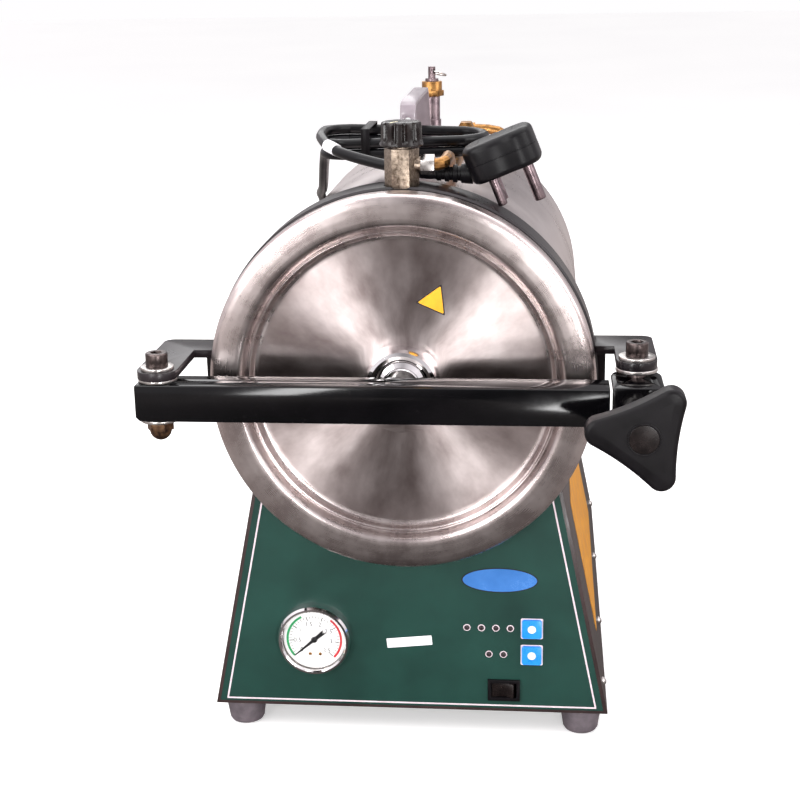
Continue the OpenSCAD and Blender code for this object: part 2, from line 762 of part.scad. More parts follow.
module relief_stem() {
  color([0.3, 0.25, 0.25]) place() translate([0, relief_y, 0]) difference() {
    union() {
      rod_z(lift_r, relief_top - 12, ring_hole_z + 4);
      rod_z(6, relief_top + 13.3, relief_top + 15.5);
    }
    rotate([0, 0, 45]) rod_y(1.8, -8, 8, 0, ring_hole_z);
  }
}

module pull_ring() {
  ring = 7.5;
  color("silver") place() translate([0, relief_y, ring_hole_z]) rotate([0, 0, 45])
    rotate([0, 18, 0]) translate([ring, 0, 0]) rotate_extrude() translate([ring, 0]) circle(r = 0.8);
}

module carry_handle() {
  t = 3;
  front = 90;
  back = 222;
  foot = 15;
  color([0.66, 0.58, 0.62]) place() translate([-strap_w / 2, 0, 0]) difference() {
    rotate([90, 0, 90]) linear_extrude(strap_w) polygon([
      [front - foot, crown + 0.1], [front + t, crown + 0.1], [front + t, grip_z - t - 6],
      [front + t + 3, grip_z - t - 2], [front + t + 7, grip_z - t], [back - 8, grip_z - t],
      [back - 3, grip_z - t - 3], [back + 40, crown + 0.1], [back + 40 + foot, crown + 0.1],
      [back + 40 + foot, crown + t], [back + 42, crown + t], [back, grip_z - 4],
      [back - 6, grip_z], [front + 8, grip_z], [front + 2, grip_z - 2.5], [front, grip_z - 8],
      [front, crown + t], [front - foot, crown + t]]);
    translate([strap_w / 2, 0, 0]) rod_y(2.4, front - 1, front + t + 1, 0, grip_z - 14);
    translate([strap_w / 2, 0, 0]) rod_z(2.4, crown - 1, crown + 9, 0, front - 8);
    translate([strap_w / 2, 0, 0]) rod_z(2.4, crown - 1, crown + 9, 0, back + 48);
  }
}

// ---- Gauge ----

dial_y = overlay_y - 5;

// Moves to the gauge's axis
module at_gauge() { place() translate([gauge_pos.x, 0, gauge_pos.y]) children(); }

module gauge_case() {
  color("dimgray") at_gauge() difference() {
    union() {
      rod_y(bezel_r - 3.3, dial_y, overlay_y + 26);
      rod_y(6, overlay_y + 25.9, overlay_y + 40);
    }
    rod_y(bezel_r - 5, dial_y - 1, overlay_y + 24);
  }
}

module gauge_bezel() {
  r = bezel_r;
  y = overlay_y;
  color([0.82, 0.8, 0.82]) at_gauge() turned_y() polygon([[r - 3.2, y - 0.05], [r, y - 0.05], [r, y - 3],
    [r - 0.8, y - 8], [r - 2.2, y - 10], [r - 3.8, y - 10.2], [r - 4.8, y - 9], [r - 4.8, y - 7.6],
    [r - 3.2, y - 7.6]]);
}

module gauge_dial() { color("white") at_gauge() rod_y(bezel_r - 5.1, dial_y + 0.2, dial_y + 1.2); }

module gauge_lens() { color([0.8, 0.9, 0.95, 0.4]) at_gauge() rod_y(bezel_r - 3.4, dial_y - 2.4, dial_y - 1.2); }

module gauge_needle() {
  tip = bezel_r - 8.5;
  color([0.08, 0.08, 0.08]) at_gauge() union() {
    pushed(dial_y - 0.8, dial_y - 0.4) rotate([0, 0, 221]) polygon([[-11, -1.8], [-9, 0], [-11, 1.8],
      [0, 1.3], [tip, 0.3], [tip, -0.3], [0, -1.3]]);
    rod_y(2.4, dial_y - 1, dial_y - 0.1);
  }
}

// ---- Lamps, buttons and switch ----

module indicator_lamps() {
  color([0.75, 0.7, 0.7]) place() for (p = lamp_spots) rod_y(lamp_r, overlay_y - 0.8, cab_front + 6, p.x, p.y);
}

module button(p) {
  w = button_w / 2;
  soft = 1.2;
  place() union() {
    translate([p.x, 0, p.y]) pushed(overlay_y - 2, cab_front + 5)
      polygon([[-w, soft - w], [soft - w, -w], [w - soft, -w], [w, soft - w], [w, w - soft],
        [w - soft, w], [soft - w, w], [-w, w - soft]]);
    rod_y(3, cab_front + 4.9, cab_front + 11, p.x, p.y);
  }
}

module start_button() { color([0.04, 0.47, 0.9]) button(start_pos); }
module select_button() { color([0.04, 0.47, 0.9]) button(select_pos); }

well_x = 10;                                 // half width of the rocker's well
well_z = 6.3;

module switch_housing() {
  w = rocker_w / 2;
  color([0.08, 0.08, 0.08]) place() translate([rocker_pos.x, 0, rocker_pos.y]) difference() {
    union() {
      slab([-w, overlay_y - 2.2, -9], [w, overlay_y - 0.02, 9]);
      slab([-w + 2, overlay_y - 0.03, -7.3], [w - 2, cab_front + 15, 7.3]);
    }
    slab([-well_x, overlay_y - 3, -well_z], [well_x, cab_front + 11, well_z]);
    rod_z(rocker_pin_r + fit, -well_z - 0.7, well_z + 0.7, 0, rocker_pivot_y);
  }
}

rocker_pivot_y = cab_front + 4;
rocker_pin_r = 1.2;

module power_rocker() {
  w = 8.6;
  half = well_z - 0.4;
  color([0.1, 0.1, 0.1]) place() translate([rocker_pos.x, rocker_pivot_y, rocker_pos.y])
    rotate([0, 0, -rocker_tilt]) union() {
      translate([0, 0, -half]) linear_extrude(2 * half)
        polygon([[-w, -7], [-w, 3], [w, 3], [w, -7], [0, -4.4]]);
      rod_z(rocker_pin_r, -half - 0.9, half + 0.9);
    }
}

// ---- Electrics ----

module control_board() {
  y = cab_front + 13;
  color([0.1, 0.35, 0.2]) place() union() {
    slab([38, y, -240], [116, y + 1.6, -150]);
    slab([44, y + 1.5, -190], [60, y + 16, -170]);
    slab([66, y + 1.5, -186], [82, y + 16, -166]);
    slab([90, y + 1.5, -180], [106, y + 8, -172]);
    rod_y(6, y + 1.5, y + 20, 100, -192);
    for (p = lamp_spots) rod_y(1.2, cab_front + 6.02, y + 0.02, p.x, p.y);
  }
}

module power_transformer() {
  z = cab_floor + sheet + 0.02;
  color("dimgray") place() union() {
    slab([-96, 230, z], [-32, 236, z + 56]);
    slab([-96, 236, z], [-32, 262, z + 10]);
    slab([-96, 236, z + 46], [-32, 262, z + 56]);
    slab([-84, 220, z + 12], [-44, 276, z + 44]);
  }
}

// ---- Mains cord ----

module cord_gland() {
  color([0.1, 0.1, 0.1]) place() translate([gland_pos.x, 0, gland_pos.y]) difference() {
    union() {
      rod_y(7.9, cab_back - 12, cab_back + 1);
      translate([0, cab_back + 7, 0]) rotate([90, 0, 0]) cylinder(r = 12, h = 7, $fn = 6);
      translate([0, cab_back + 6.9, 0]) rotate([-90, 0, 0]) cylinder(r1 = 9, r2 = 5.4, h = 19);
    }
    rod_y(cord_r + 0.1, cab_back - 13, cab_back + 24);
  }
}

module cord_rise() { color([0.08, 0.08, 0.08]) place() swept(rise_route, cord_r, [1, 0, 0]); }

module cord_lead() { color([0.08, 0.08, 0.08]) place() swept(lead_route, cord_r, [0, 0, 1]); }

module cord_hank() {
  r = hank_bend + cord_r;
  color([0.08, 0.08, 0.08]) place() translate([hank_mid.x, hank_mid.y, hank_z])
    linear_extrude(hank_top - hank_z) union() {
      square([2 * hank_half, 2 * r], center = true);
      for (sx = [-1, 1]) translate([sx * hank_half, 0]) circle(r = r);
    }
}

module cord_tie() {
  half = hank_bend + cord_r;
  x = hank_mid.x - 32;
  color([0.2, 0.2, 0.2]) place() difference() {
    slab([x, hank_mid.y - half - 1, hank_z - 1], [x + 7, hank_mid.y + half + 1, hank_top + 1]);
    slab([x - 1, hank_mid.y - half, hank_z], [x + 8, hank_mid.y + half, hank_top]);
  }
}

module plug_body() {
  pin_len = 20.6;
  color([0.1, 0.1, 0.11]) place() union() {
    translate(plug_mid) rotate([0, plug_tilt, 0]) {
      translate([0, 0, -14]) linear_extrude(28) union() {
        square([54, 26], center = true);
        square([28, 50], center = true);
        for (sx = [-1, 1], sy = [-1, 1]) translate([sx * 14, sy * 12]) circle(r = 13);
      }
      for (sy = [-1, 1]) rod_z(3.5, -14 - pin_len, -13.9, -12, sy * 12.5);
      rod_z(4.3, -14 - 28.6, -13.9, 14, 0);
    }
    translate(relief_tip) rotate([0, 90, 0]) cylinder(r1 = 5.4, r2 = 8, h = 27);
  }
}

base_tray();
cabinet_shell();
front_panel();
panel_overlay();
rear_panel();
rubber_feet();
cabinet_screws();
side_label();
drum_jacket();
drum_rear_cover();
insulation_blanket();
chamber_vessel();
door_ring();
hinge_bracket();
latch_bracket();
drum_saddles();
tray_rack();
instrument_trays();
heater_element();
temperature_probe();
pivot_bolts();
bolt_washers();
dome_nuts();
latch_bush();
crossbar();
lid_pin();
lid_disc();
lid_gasket();
lid_hub();
lid_stud();
latch_channel();
clamp_screw();
clamp_knob();
valve_column();
valve_knob();
exhaust_pipe();
brass_fittings();
relief_body();
relief_cap();
relief_stem();
pull_ring();
carry_handle();
gauge_case();
gauge_bezel();
gauge_dial();
gauge_lens();
gauge_needle();
indicator_lamps();
start_button();
select_button();
switch_housing();
power_rocker();
control_board();
power_transformer();
cord_gland();
cord_rise();
cord_hank();
cord_lead();
cord_tie();
plug_body();
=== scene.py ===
"""Looks of a bench-top steam steriliser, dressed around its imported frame.

Sizes are in millimetres from the drum's axis at the lid's face: x to the right, y to the back and
z up. placed() turns them into the frame's metres.
"""

import logging
from dataclasses import dataclass, field
from enum import Enum

import bmesh
import bpy
import numpy as np
from mathutils import Matrix, Vector


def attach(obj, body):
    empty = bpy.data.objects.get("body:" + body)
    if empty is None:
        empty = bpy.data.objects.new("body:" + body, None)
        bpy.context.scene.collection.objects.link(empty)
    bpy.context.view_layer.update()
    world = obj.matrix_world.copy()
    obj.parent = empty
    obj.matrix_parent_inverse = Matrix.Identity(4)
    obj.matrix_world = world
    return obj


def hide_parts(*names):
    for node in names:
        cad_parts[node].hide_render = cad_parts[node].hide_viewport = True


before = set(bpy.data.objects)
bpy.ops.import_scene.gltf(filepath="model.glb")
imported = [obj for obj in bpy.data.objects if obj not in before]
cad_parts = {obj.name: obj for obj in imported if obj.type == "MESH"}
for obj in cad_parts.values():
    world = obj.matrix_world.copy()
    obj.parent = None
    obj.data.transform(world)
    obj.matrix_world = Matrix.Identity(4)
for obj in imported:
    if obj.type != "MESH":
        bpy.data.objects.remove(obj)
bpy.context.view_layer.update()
LOG = logging.getLogger("steriliser")
SHIFT = np.array([-4.9, -205.5, 300.0])
Profile = list[tuple[float, float]]


class Axis(Enum):
    """The axis that a turned piece is spun around."""

    Y = "along the drum"
    Z = "upright"


def placed(points: np.ndarray) -> np.ndarray:
    """Turns drum-axis millimetres into the frame's metres.

    Args:
        points: Points in millimetres, with x, y and z last.

    Returns:
        The points in the frame.
    """
    return (np.asarray(points, float) + SHIFT) / 1000.0


def linear(hex_code: str, alpha: float = 1.0) -> tuple[float, float, float, float]:
    """Turns an sRGB hex colour into linear red, green, blue and alpha.

    Args:
        hex_code: The colour, with its hash.
        alpha: The alpha to give it.

    Returns:
        Red, green, blue and alpha.
    """
    srgb = np.array([int(hex_code[i : i + 2], 16) for i in (1, 3, 5)]) / 255.0
    rgb = np.where(srgb <= 0.04045, srgb / 12.92, ((srgb + 0.055) / 1.055) ** 2.4)
    return (float(rgb[0]), float(rgb[1]), float(rgb[2]), alpha)


def add_node(tree: bpy.types.NodeTree, kind: str, settings: dict, links: dict) -> bpy.types.Node:
    """Adds one node to a tree.

    Args:
        tree: The node tree.
        kind: The node's type name.
        settings: Attribute or input name to value. An input wins where both exist.
        links: Input name or number to the output socket that feeds it.

    Returns:
        The new node.
    """
    made = tree.nodes.new(kind)
    for name, value in settings.items():
        if isinstance(name, int) or name in made.inputs:
            made.inputs[name].default_value = value
        else:
            setattr(made, name, value)
    for name, socket in links.items():
        tree.links.new(socket, made.inputs[name])
    return made


# ---------------------------------------------------------------- finishes


@dataclass(frozen=True)
class Finish:
    """A finish with a mottled colour, uneven gloss and a fine relief.

    Attributes:
        name: The material's plain name.
        light: Colour where the mottling is light, as sRGB hex.
        dark: Colour where it is dark.
        metallic: 1 for bare metal, else 0.
        rough: Lowest and highest roughness.
        mottle_mm: Size of the colour patches.
        grain_mm: Size of the relief's grain, drawn no finer than shows.
        grain_height_mm: Height of the relief.
        stretch: How much longer the grain is along x, y and z.
        coat: Weight of a clear coat.
        ior: Refractive index, or None to keep a metal's default.
        clear: Transmission weight.
        alpha: Opacity.
        wear: Strength of fine bright scratches, from 0 to 1.
        wear_hex: Colour of the scratches.
        aniso: How far highlights stretch across the brushing.
        on_uv: The pattern follows the piece's own UV map.
    """

    name: str
    light: str
    dark: str
    metallic: float = 0.0
    rough: tuple[float, float] = (0.4, 0.5)
    mottle_mm: float = 40.0
    grain_mm: float = 0.8
    grain_height_mm: float = 0.02
    stretch: tuple[float, float, float] = (1.0, 1.0, 1.0)
    coat: float = 0.0
    ior: float | None = 1.5
    clear: float = 0.0
    alpha: float = 1.0
    wear: float = 0.0
    wear_hex: str = "#8a8078"
    aniso: float = 0.0
    on_uv: bool = False

    def build(self) -> bpy.types.Material:
        """Makes the material once, and returns it.

        Two noises drive it: a wide one mixes the light and dark colours and the roughness, and a
        fine one, stretched along the brushing, gives the bump.

        Returns:
            The material.
        """
        known = bpy.data.materials.get(self.name)
        if known:
            return known
        made = bpy.data.materials.new(self.name)
        made.use_nodes = True
        tree = made.node_tree
        tree.nodes.clear()
        coords = add_node(tree, "ShaderNodeTexCoord", {}, {}).outputs["UV" if self.on_uv else "Object"]
        unit = 1.0 if self.on_uv else 1000.0
        wide = add_node(
            tree,
            "ShaderNodeTexNoise",
            {"Scale": unit / self.mottle_mm, "Detail": 4.0, "Roughness": 0.6},
            {"Vector": coords},
        )
        squeezed = add_node(
            tree,
            "ShaderNodeMapping",
            {"Scale": tuple(1.0 / s for s in self.stretch)},
            {"Vector": coords},
        )
        fine = add_node(
            tree,
            "ShaderNodeTexNoise",
            {"Scale": unit / self.grain_mm, "Detail": 3.0, "Roughness": 0.7},
            {"Vector": squeezed.outputs["Vector"]},
        )
        blend = add_node(
            tree,
            "ShaderNodeMapRange",
            {"From Min": 0.32, "From Max": 0.68},
            {"Value": wide.outputs["Fac"]},
        )
        colour = add_node(
            tree,
            "ShaderNodeMix",
            {"data_type": "RGBA"},
            {0: blend.outputs["Result"]},
        )
        colour.inputs[6].default_value = linear(self.dark)
        colour.inputs[7].default_value = linear(self.light)
        shade = colour.outputs[2]
        if self.wear > 0.0:
            shade = self._scratched(tree, coords, unit, shade)
        spread = add_node(
            tree,
            "ShaderNodeMath",
            {"operation": "MULTIPLY_ADD", 1: 0.5},
            {0: fine.outputs["Fac"]},
        )
        tree.links.new(wide.outputs["Fac"], spread.inputs[2])
        gloss = add_node(
            tree,
            "ShaderNodeMapRange",
            {"From Min": 0.45, "From Max": 1.05, "To Min": self.rough[0], "To Max": self.rough[1]},
            {"Value": spread.outputs["Value"]},
        )
        bump = add_node(
            tree,
            "ShaderNodeBump",
            {"Strength": 0.6, "Distance": self.grain_height_mm / 1000.0},
            {"Height": fine.outputs["Fac"]},
        )
        shader = add_node(
            tree,
            "ShaderNodeBsdfPrincipled",
            {"Metallic": self.metallic, "Coat Weight": self.coat, "Coat Roughness": 0.08},
            {
                "Base Color": shade,
                "Roughness": gloss.outputs["Result"],
                "Normal": bump.outputs["Normal"],
            },
        )
        if self.ior is not None:
            shader.inputs["IOR"].default_value = self.ior
        shader.inputs["Transmission Weight"].default_value = self.clear
        shader.inputs["Alpha"].default_value = self.alpha
        shader.inputs["Anisotropic"].default_value = self.aniso
        shader.inputs["Anisotropic Rotation"].default_value = 0.25 if self.on_uv else 0.0
        if self.aniso > 0.0 and self.on_uv:
            tangent = add_node(tree, "ShaderNodeTangent", {"direction_type": "UV_MAP"}, {})
            tree.links.new(tangent.outputs["Tangent"], shader.inputs["Tangent"])
        out = add_node(tree, "ShaderNodeOutputMaterial", {}, {"Surface": shader.outputs["BSDF"]})
        out.target = "ALL"
        return made

    def _scratched(
        self,
        tree: bpy.types.NodeTree,
        coords: bpy.types.NodeSocket,
        unit: float,
        shade: bpy.types.NodeSocket,
    ) -> bpy.types.NodeSocket:
        """Mixes rubbed specks into a colour, where a sharp noise is near its top.

        Args:
            tree: The node tree.
            coords: The coordinates to read.
            unit: Coordinate units in a metre.
            shade: The colour so far.

        Returns:
            The worn colour.
        """
        specks = add_node(
            tree,
            "ShaderNodeTexNoise",
            {"Scale": unit / 6.0, "Detail": 8.0, "Roughness": 0.75},
            {"Vector": coords},
        )
        rubbed = add_node(
            tree,
            "ShaderNodeMapRange",
            {"From Min": 0.62, "From Max": 0.72, "To Max": self.wear},
            {"Value": specks.outputs["Fac"]},
        )
        worn = add_node(
            tree,
            "ShaderNodeMix",
            {"data_type": "RGBA"},
            {0: rubbed.outputs["Result"], 6: shade},
        )
        worn.inputs[7].default_value = linear(self.wear_hex)
        return worn.outputs[2]


# Spun and brushed 304 stainless: warm grey, highlights drawn out across the brushing. Its wide light and
# dark patches are partly the steel's uneven tone and partly painted reflection: blotches of the room's
# light and shade set into the colour.
SPUN_STEEL = Finish(
    "spun stainless steel", "#d9cdcb", "#a99a98", 1.0, (0.27, 0.37), 45.0, 0.6, 0.006,
    (60.0, 1.0, 1.0), ior=None, aniso=0.9, on_uv=True, wear=0.25, wear_hex="#f2e9e4",
)
RIM_STEEL = Finish(
    "brushed stainless rim", "#d8cdcb", "#b3a5a3", 1.0, (0.22, 0.34), 40.0, 0.5, 0.005,
    (60.0, 1.0, 1.0), ior=None, aniso=0.5, on_uv=True,
)
# Rolled stainless sheet, brushed along its length.
SHEET_STEEL = Finish(
    "brushed stainless sheet", "#d9d0ce", "#c6bbba", 1.0, (0.24, 0.36), 70.0, 0.5, 0.004,
    (1.0, 80.0, 1.0), ior=None,
)
# Stainless left as rolled, inside the chamber.
BRIGHT_STEEL = Finish(
    "pickled stainless steel", "#cfcac8", "#b9b3b1", 1.0, (0.25, 0.4), 30.0, 0.6, 0.01, ior=None
)
# Nickel and chromium plate: a clear mirror with faint dust.
CHROME = Finish(
    "chromium plate", "#f0eeee", "#e2dfe0", 1.0, (0.04, 0.1), 25.0, 1.5, 0.002, ior=None
)
# Zinc plated steel: dull silver, a little cloudy.
ZINC = Finish("zinc plated steel", "#cfcbc8", "#a9a3a0", 1.0, (0.22, 0.4), 8.0, 0.6, 0.01, ior=None)
RUSTY = Finish(
    "rusting steel", "#8a6a50", "#3a2c28", 1.0, (0.35, 0.6), 4.0, 0.6, 0.03, ior=None,
    wear=0.6, wear_hex="#8c4b22",
)
# Black oxide steel, rubbed brown and silver on its edges.
BLACK_OXIDE = Finish(
    "black oxide steel", "#6b605e", "#2c2626", 1.0, (0.25, 0.42), 7.0, 0.6, 0.02, ior=None,
    wear=0.35, wear_hex="#a08f86",
)
# Stoved black gloss enamel with handling marks.
BLACK_ENAMEL = Finish(
    "black stoved enamel", "#09080a", "#040405", 0.0, (0.07, 0.16), 50.0, 2.5, 0.01, ior=1.34,
    wear=0.1, wear_hex="#6b6266",
)
# Cast iron ring and brackets under semi-gloss paint, faintly brown.
DARK_ENAMEL = Finish(
    "dark machinery paint", "#241d20", "#141013", 0.0, (0.24, 0.38), 30.0, 1.4, 0.04, ior=1.4,
    wear=0.15, wear_hex="#786c6c",
)
BROWN_PAINT = Finish(
    "brown hammer paint", "#3a2a29", "#2b1f1f", 0.0, (0.3, 0.42), 45.0, 1.2, 0.05, coat=0.2,
    wear=0.12, wear_hex="#8b7a70",
)
# Screen-printed polycarbonate overlay: deep teal green with a soft sheen.
GREEN_FILM = Finish(
    "green polycarbonate overlay", "#0c3d34", "#082f28", 0.0, (0.42, 0.52), 80.0, 0.7, 0.01, ior=1.45
)
PINK_INK = Finish("pale screen ink", "#d9c9cf", "#c7b5bc", 0.0, (0.45, 0.55), 10.0, 0.6, 0.005)
BLACK_INK = Finish("black printing ink", "#17161a", "#0e0d10", 0.0, (0.5, 0.6), 6.0, 0.6, 0.003)
GREEN_INK = Finish("green printing ink", "#1f9a5a", "#1b8a50", 0.0, (0.5, 0.6), 6.0, 0.6, 0.003)
RED_INK = Finish("red printing ink", "#cc3038", "#b8262f", 0.0, (0.5, 0.6), 6.0, 0.6, 0.003)
AMBER_FILM = Finish(
    "amber reflective film", "#d89200", "#b87400", 0.0, (0.4, 0.55), 12.0, 1.0, 0.02,
    wear=0.2, wear_hex="#7c5405",
)
YELLOW_FILM = Finish("yellow vinyl film", "#f5ae00", "#ea9e00", 0.0, (0.45, 0.55), 9.0, 0.8, 0.004)
BADGE_INK = Finish("plain badge film", "#3c74ba", "#3268ab", 0.0, (0.2, 0.3), 20.0, 0.6, 0.003)
WHITE_PLASTIC = Finish("white ABS", "#eceaec", "#dddadd", 0.0, (0.3, 0.4), 8.0, 0.6, 0.01, ior=1.54)
WHITE_LABEL = Finish("white paper label", "#f0eef0", "#dcd9de", 0.0, (0.55, 0.7), 12.0, 0.6, 0.01)
# Injection moulded nylon, fine spark texture.
BLACK_NYLON = Finish(
    "black moulded nylon", "#120f12", "#0a080a", 0.0, (0.34, 0.46), 22.0, 0.7, 0.02, ior=1.26
)
VALVE_PHENOLIC = Finish(
    "brown-black phenolic", "#1d1615", "#0f0b0b", 0.0, (0.2, 0.32), 10.0, 1.0, 0.01, ior=1.38,
)
CREAM_PAINT = Finish("cream index paint", "#efe6c4", "#dccf9f", 0.0, (0.4, 0.5), 3.0, 0.5, 0.01)
CORD_PVC = Finish(
    "black flexible PVC", "#0e0d10", "#070709", 0.0, (0.26, 0.38), 30.0, 1.2, 0.01, ior=1.3
)
PLUG_PVC = Finish(
    "black moulded PVC", "#110f12", "#09080a", 0.0, (0.32, 0.46), 26.0, 0.8, 0.02, ior=1.27
)
GREY_RUBBER = Finish(
    "grey moulded rubber", "#665c62", "#4f474c", 0.0, (0.5, 0.66), 9.0, 0.9, 0.04, ior=1.52
)
GREY_ENAMEL = Finish(
    "grey stoved enamel", "#9b8f96", "#82777e", 0.0, (0.3, 0.45), 25.0, 0.9, 0.03, coat=0.2,
    wear=0.2, wear_hex="#c9c0c2",
)
# Yellow brass, dulled where it is handled.
BRASS = Finish(
    "worn yellow brass", "#b98850", "#6f5030", 1.0, (0.26, 0.46), 6.0, 0.6, 0.02, ior=None
)
# Cast valve body with thin plating worn to a brownish grey, pitted.
CAST_NICKEL = Finish(
    "pitted nickel casting", "#b3a393", "#5f5145", 1.0, (0.28, 0.5), 2.2, 0.9, 0.12, ior=None
)
PLATED_BODY = Finish(
    "worn nickel plate", "#948386", "#5d5054", 1.0, (0.25, 0.42), 9.0, 0.7, 0.02, ior=None
)
BLUE_BUTTON = Finish("blue ABS", "#1c8ff0", "#0f7fe2", 0.0, (0.25, 0.35), 14.0, 0.7, 0.01, ior=1.54)
LAMP_PLASTIC = Finish("smoked lamp plastic", "#3a3033", "#241d20", 0.0, (0.25, 0.35), 2.0, 0.5, 0.01)
CLEAR_GLASS = Finish(
    "clear gauge glass", "#ffffff", "#ffffff", 0.0, (0.0, 0.02), 30.0, 3.0, 0.0, ior=1.45,
    clear=1.0, alpha=0.1,
)
DIAL_ENAMEL = Finish("white dial enamel", "#f3f1ef", "#e6e4e2", 0.0, (0.45, 0.55), 20.0, 0.7, 0.004)
SILICONE = Finish("white silicone", "#dcd8d0", "#cbc6bc", 0.0, (0.45, 0.6), 14.0, 1.0, 0.02, ior=1.42)
WOOL = Finish("mineral wool", "#d8cfae", "#b0a57f", 0.0, (0.8, 0.95), 9.0, 1.2, 0.6)
BOARD = Finish("green circuit laminate", "#1d6b3f", "#15552f", 0.0, (0.25, 0.4), 9.0, 1.0, 0.02)
LAMINATION = Finish("steel laminations", "#8d8784", "#59534f", 1.0, (0.35, 0.5), 12.0, 0.7, 0.05, ior=None)
FLOOR = Finish("pale studio floor", "#f4f2f2", "#efedee", 0.0, (0.55, 0.65), 900.0, 40.0, 0.0)

CAD_FINISHES: dict[str, Finish] = {
    "base_tray": ZINC, "cabinet_shell": BROWN_PAINT, "front_panel": BROWN_PAINT,
    "panel_overlay": GREEN_FILM, "rear_panel": BROWN_PAINT, "rubber_feet": GREY_RUBBER,
    "cabinet_screws": ZINC, "side_label": AMBER_FILM, "drum_jacket": SHEET_STEEL,
    "drum_rear_cover": DARK_ENAMEL, "insulation_blanket": WOOL, "chamber_vessel": BRIGHT_STEEL,
    "door_ring": DARK_ENAMEL, "hinge_bracket": DARK_ENAMEL, "latch_bracket": DARK_ENAMEL,
    "drum_saddles": ZINC, "tray_rack": BRIGHT_STEEL, "instrument_trays": BRIGHT_STEEL,
    "heater_element": BRIGHT_STEEL, "temperature_probe": BRIGHT_STEEL, "pivot_bolts": BLACK_OXIDE,
    "bolt_washers": ZINC, "dome_nuts": RUSTY, "latch_bush": BLACK_OXIDE, "crossbar": BLACK_ENAMEL,
    "lid_pin": ZINC, "lid_disc": SHEET_STEEL, "lid_gasket": SILICONE, "lid_hub": CHROME,
    "lid_stud": ZINC, "latch_channel": BLACK_ENAMEL, "clamp_screw": ZINC,
    "clamp_knob": BLACK_NYLON, "valve_column": CAST_NICKEL, "valve_knob": VALVE_PHENOLIC,
    "exhaust_pipe": BRASS, "brass_fittings": BRASS, "relief_body": PLATED_BODY,
    "relief_cap": BRASS, "relief_stem": PLATED_BODY, "pull_ring": ZINC,
    "carry_handle": GREY_ENAMEL, "gauge_case": ZINC, "gauge_bezel": CHROME,
    "gauge_dial": DIAL_ENAMEL, "gauge_lens": CLEAR_GLASS, "gauge_needle": BLACK_INK,
    "indicator_lamps": LAMP_PLASTIC, "start_button": BLUE_BUTTON, "select_button": BLUE_BUTTON,
    "switch_housing": BLACK_NYLON, "power_rocker": VALVE_PHENOLIC, "control_board": BOARD,
    "power_transformer": LAMINATION, "cord_gland": BLACK_NYLON, "cord_rise": CORD_PVC,
    "cord_hank": CORD_PVC, "cord_lead": CORD_PVC, "cord_tie": BLACK_NYLON, "plug_body": PLUG_PVC,
}


# ---------------------------------------------------------------- surfaces


def eased(points: Profile, radius: float, closed: bool = False, steps: int = 4) -> np.ndarray:
    """Rounds the corners of a flat polyline.

    Each corner becomes a quadratic arc from a point before it to one after it, both at most
    radius away and never past the middle of an edge.

    Args:
        points: The corners.
        radius: How far the rounding reaches along each edge.
        closed: The last corner joins the first.
        steps: Points in each rounding.

    Returns:
        The rounded line, one row for each point.
    """
    p = np.asarray(points, float)
    before = np.roll(p, 1, axis=0) - p
    after = np.roll(p, -1, axis=0) - p
    len_b = np.maximum(np.linalg.norm(before, axis=1, keepdims=True), 1e-9)
    len_a = np.maximum(np.linalg.norm(after, axis=1, keepdims=True), 1e-9)
    cut_b = np.minimum(radius, 0.45 * len_b)
    cut_a = np.minimum(radius, 0.45 * len_a)
    if not closed:
        cut_b[[0, -1]] = 0.0
        cut_a[[0, -1]] = 0.0
    start = p + before / len_b * cut_b
    end = p + after / len_a * cut_a
    s = np.linspace(0.0, 1.0, steps)[None, :, None]
    arcs = (1 - s) ** 2 * start[:, None] + 2 * s * (1 - s) * p[:, None] + s**2 * end[:, None]
    line = arcs.reshape(-1, p.shape[1])
    keep = np.ones(len(line), bool)
    keep[1:] = np.linalg.norm(np.diff(line, axis=0), axis=1) > 1e-6
    return line[keep]


def turned(line: np.ndarray, axis: Axis, centre: tuple[float, float], steps: int = 96) -> np.ndarray:
    """Spins a line of (radius, height) about an axis: each point goes round a circle of its radius.

    Args:
        line: Radius and place along the axis, one row for each point.
        axis: The axis.
        centre: The other two coordinates of the axis: (x, z) for Y, or (x, y) for Z.
        steps: Places round the circle.

    Returns:
        A grid of points, round the circle by along the line.
    """
    a = np.linspace(0.0, 2 * np.pi, steps, endpoint=False)[:, None]
    r, h = line[None, :, 0], line[None, :, 1] + 0.0 * a
    first, second = centre[0] + r * np.cos(a), centre[1] + r * np.sin(a)
    parts = (first, h, second) if axis is Axis.Y else (first, second, h)
    return np.stack(parts, axis=-1)


def swept(path: np.ndarray, radius: np.ndarray, sides: int = 16) -> np.ndarray:
    """Carries a circle along a path without twist.

    The ring's first direction starts square to the path and is passed on from ring to ring with
    its part along the path taken out.

    Args:
        path: Points on the centreline.
        radius: The radius at each of them.
        sides: Points in a ring.

    Returns:
        A grid of points, round the ring by along the path.
    """
    tangent = np.gradient(path, axis=0)
    tangent /= np.linalg.norm(tangent, axis=1, keepdims=True)
    seed = np.array([0.0, 0.0, 1.0]) if abs(tangent[0, 2]) < 0.8 else np.array([1.0, 0.0, 0.0])
    across = np.zeros_like(path)
    for i, t in enumerate(tangent):
        seed = seed - t * (seed @ t)
        seed = seed / np.linalg.norm(seed)
        across[i] = seed
    side = np.cross(tangent, across)
    a = np.linspace(0.0, 2 * np.pi, sides, endpoint=False)[:, None, None]
    return path[None] + radius[None, :, None] * (np.cos(a) * across[None] + np.sin(a) * side[None])


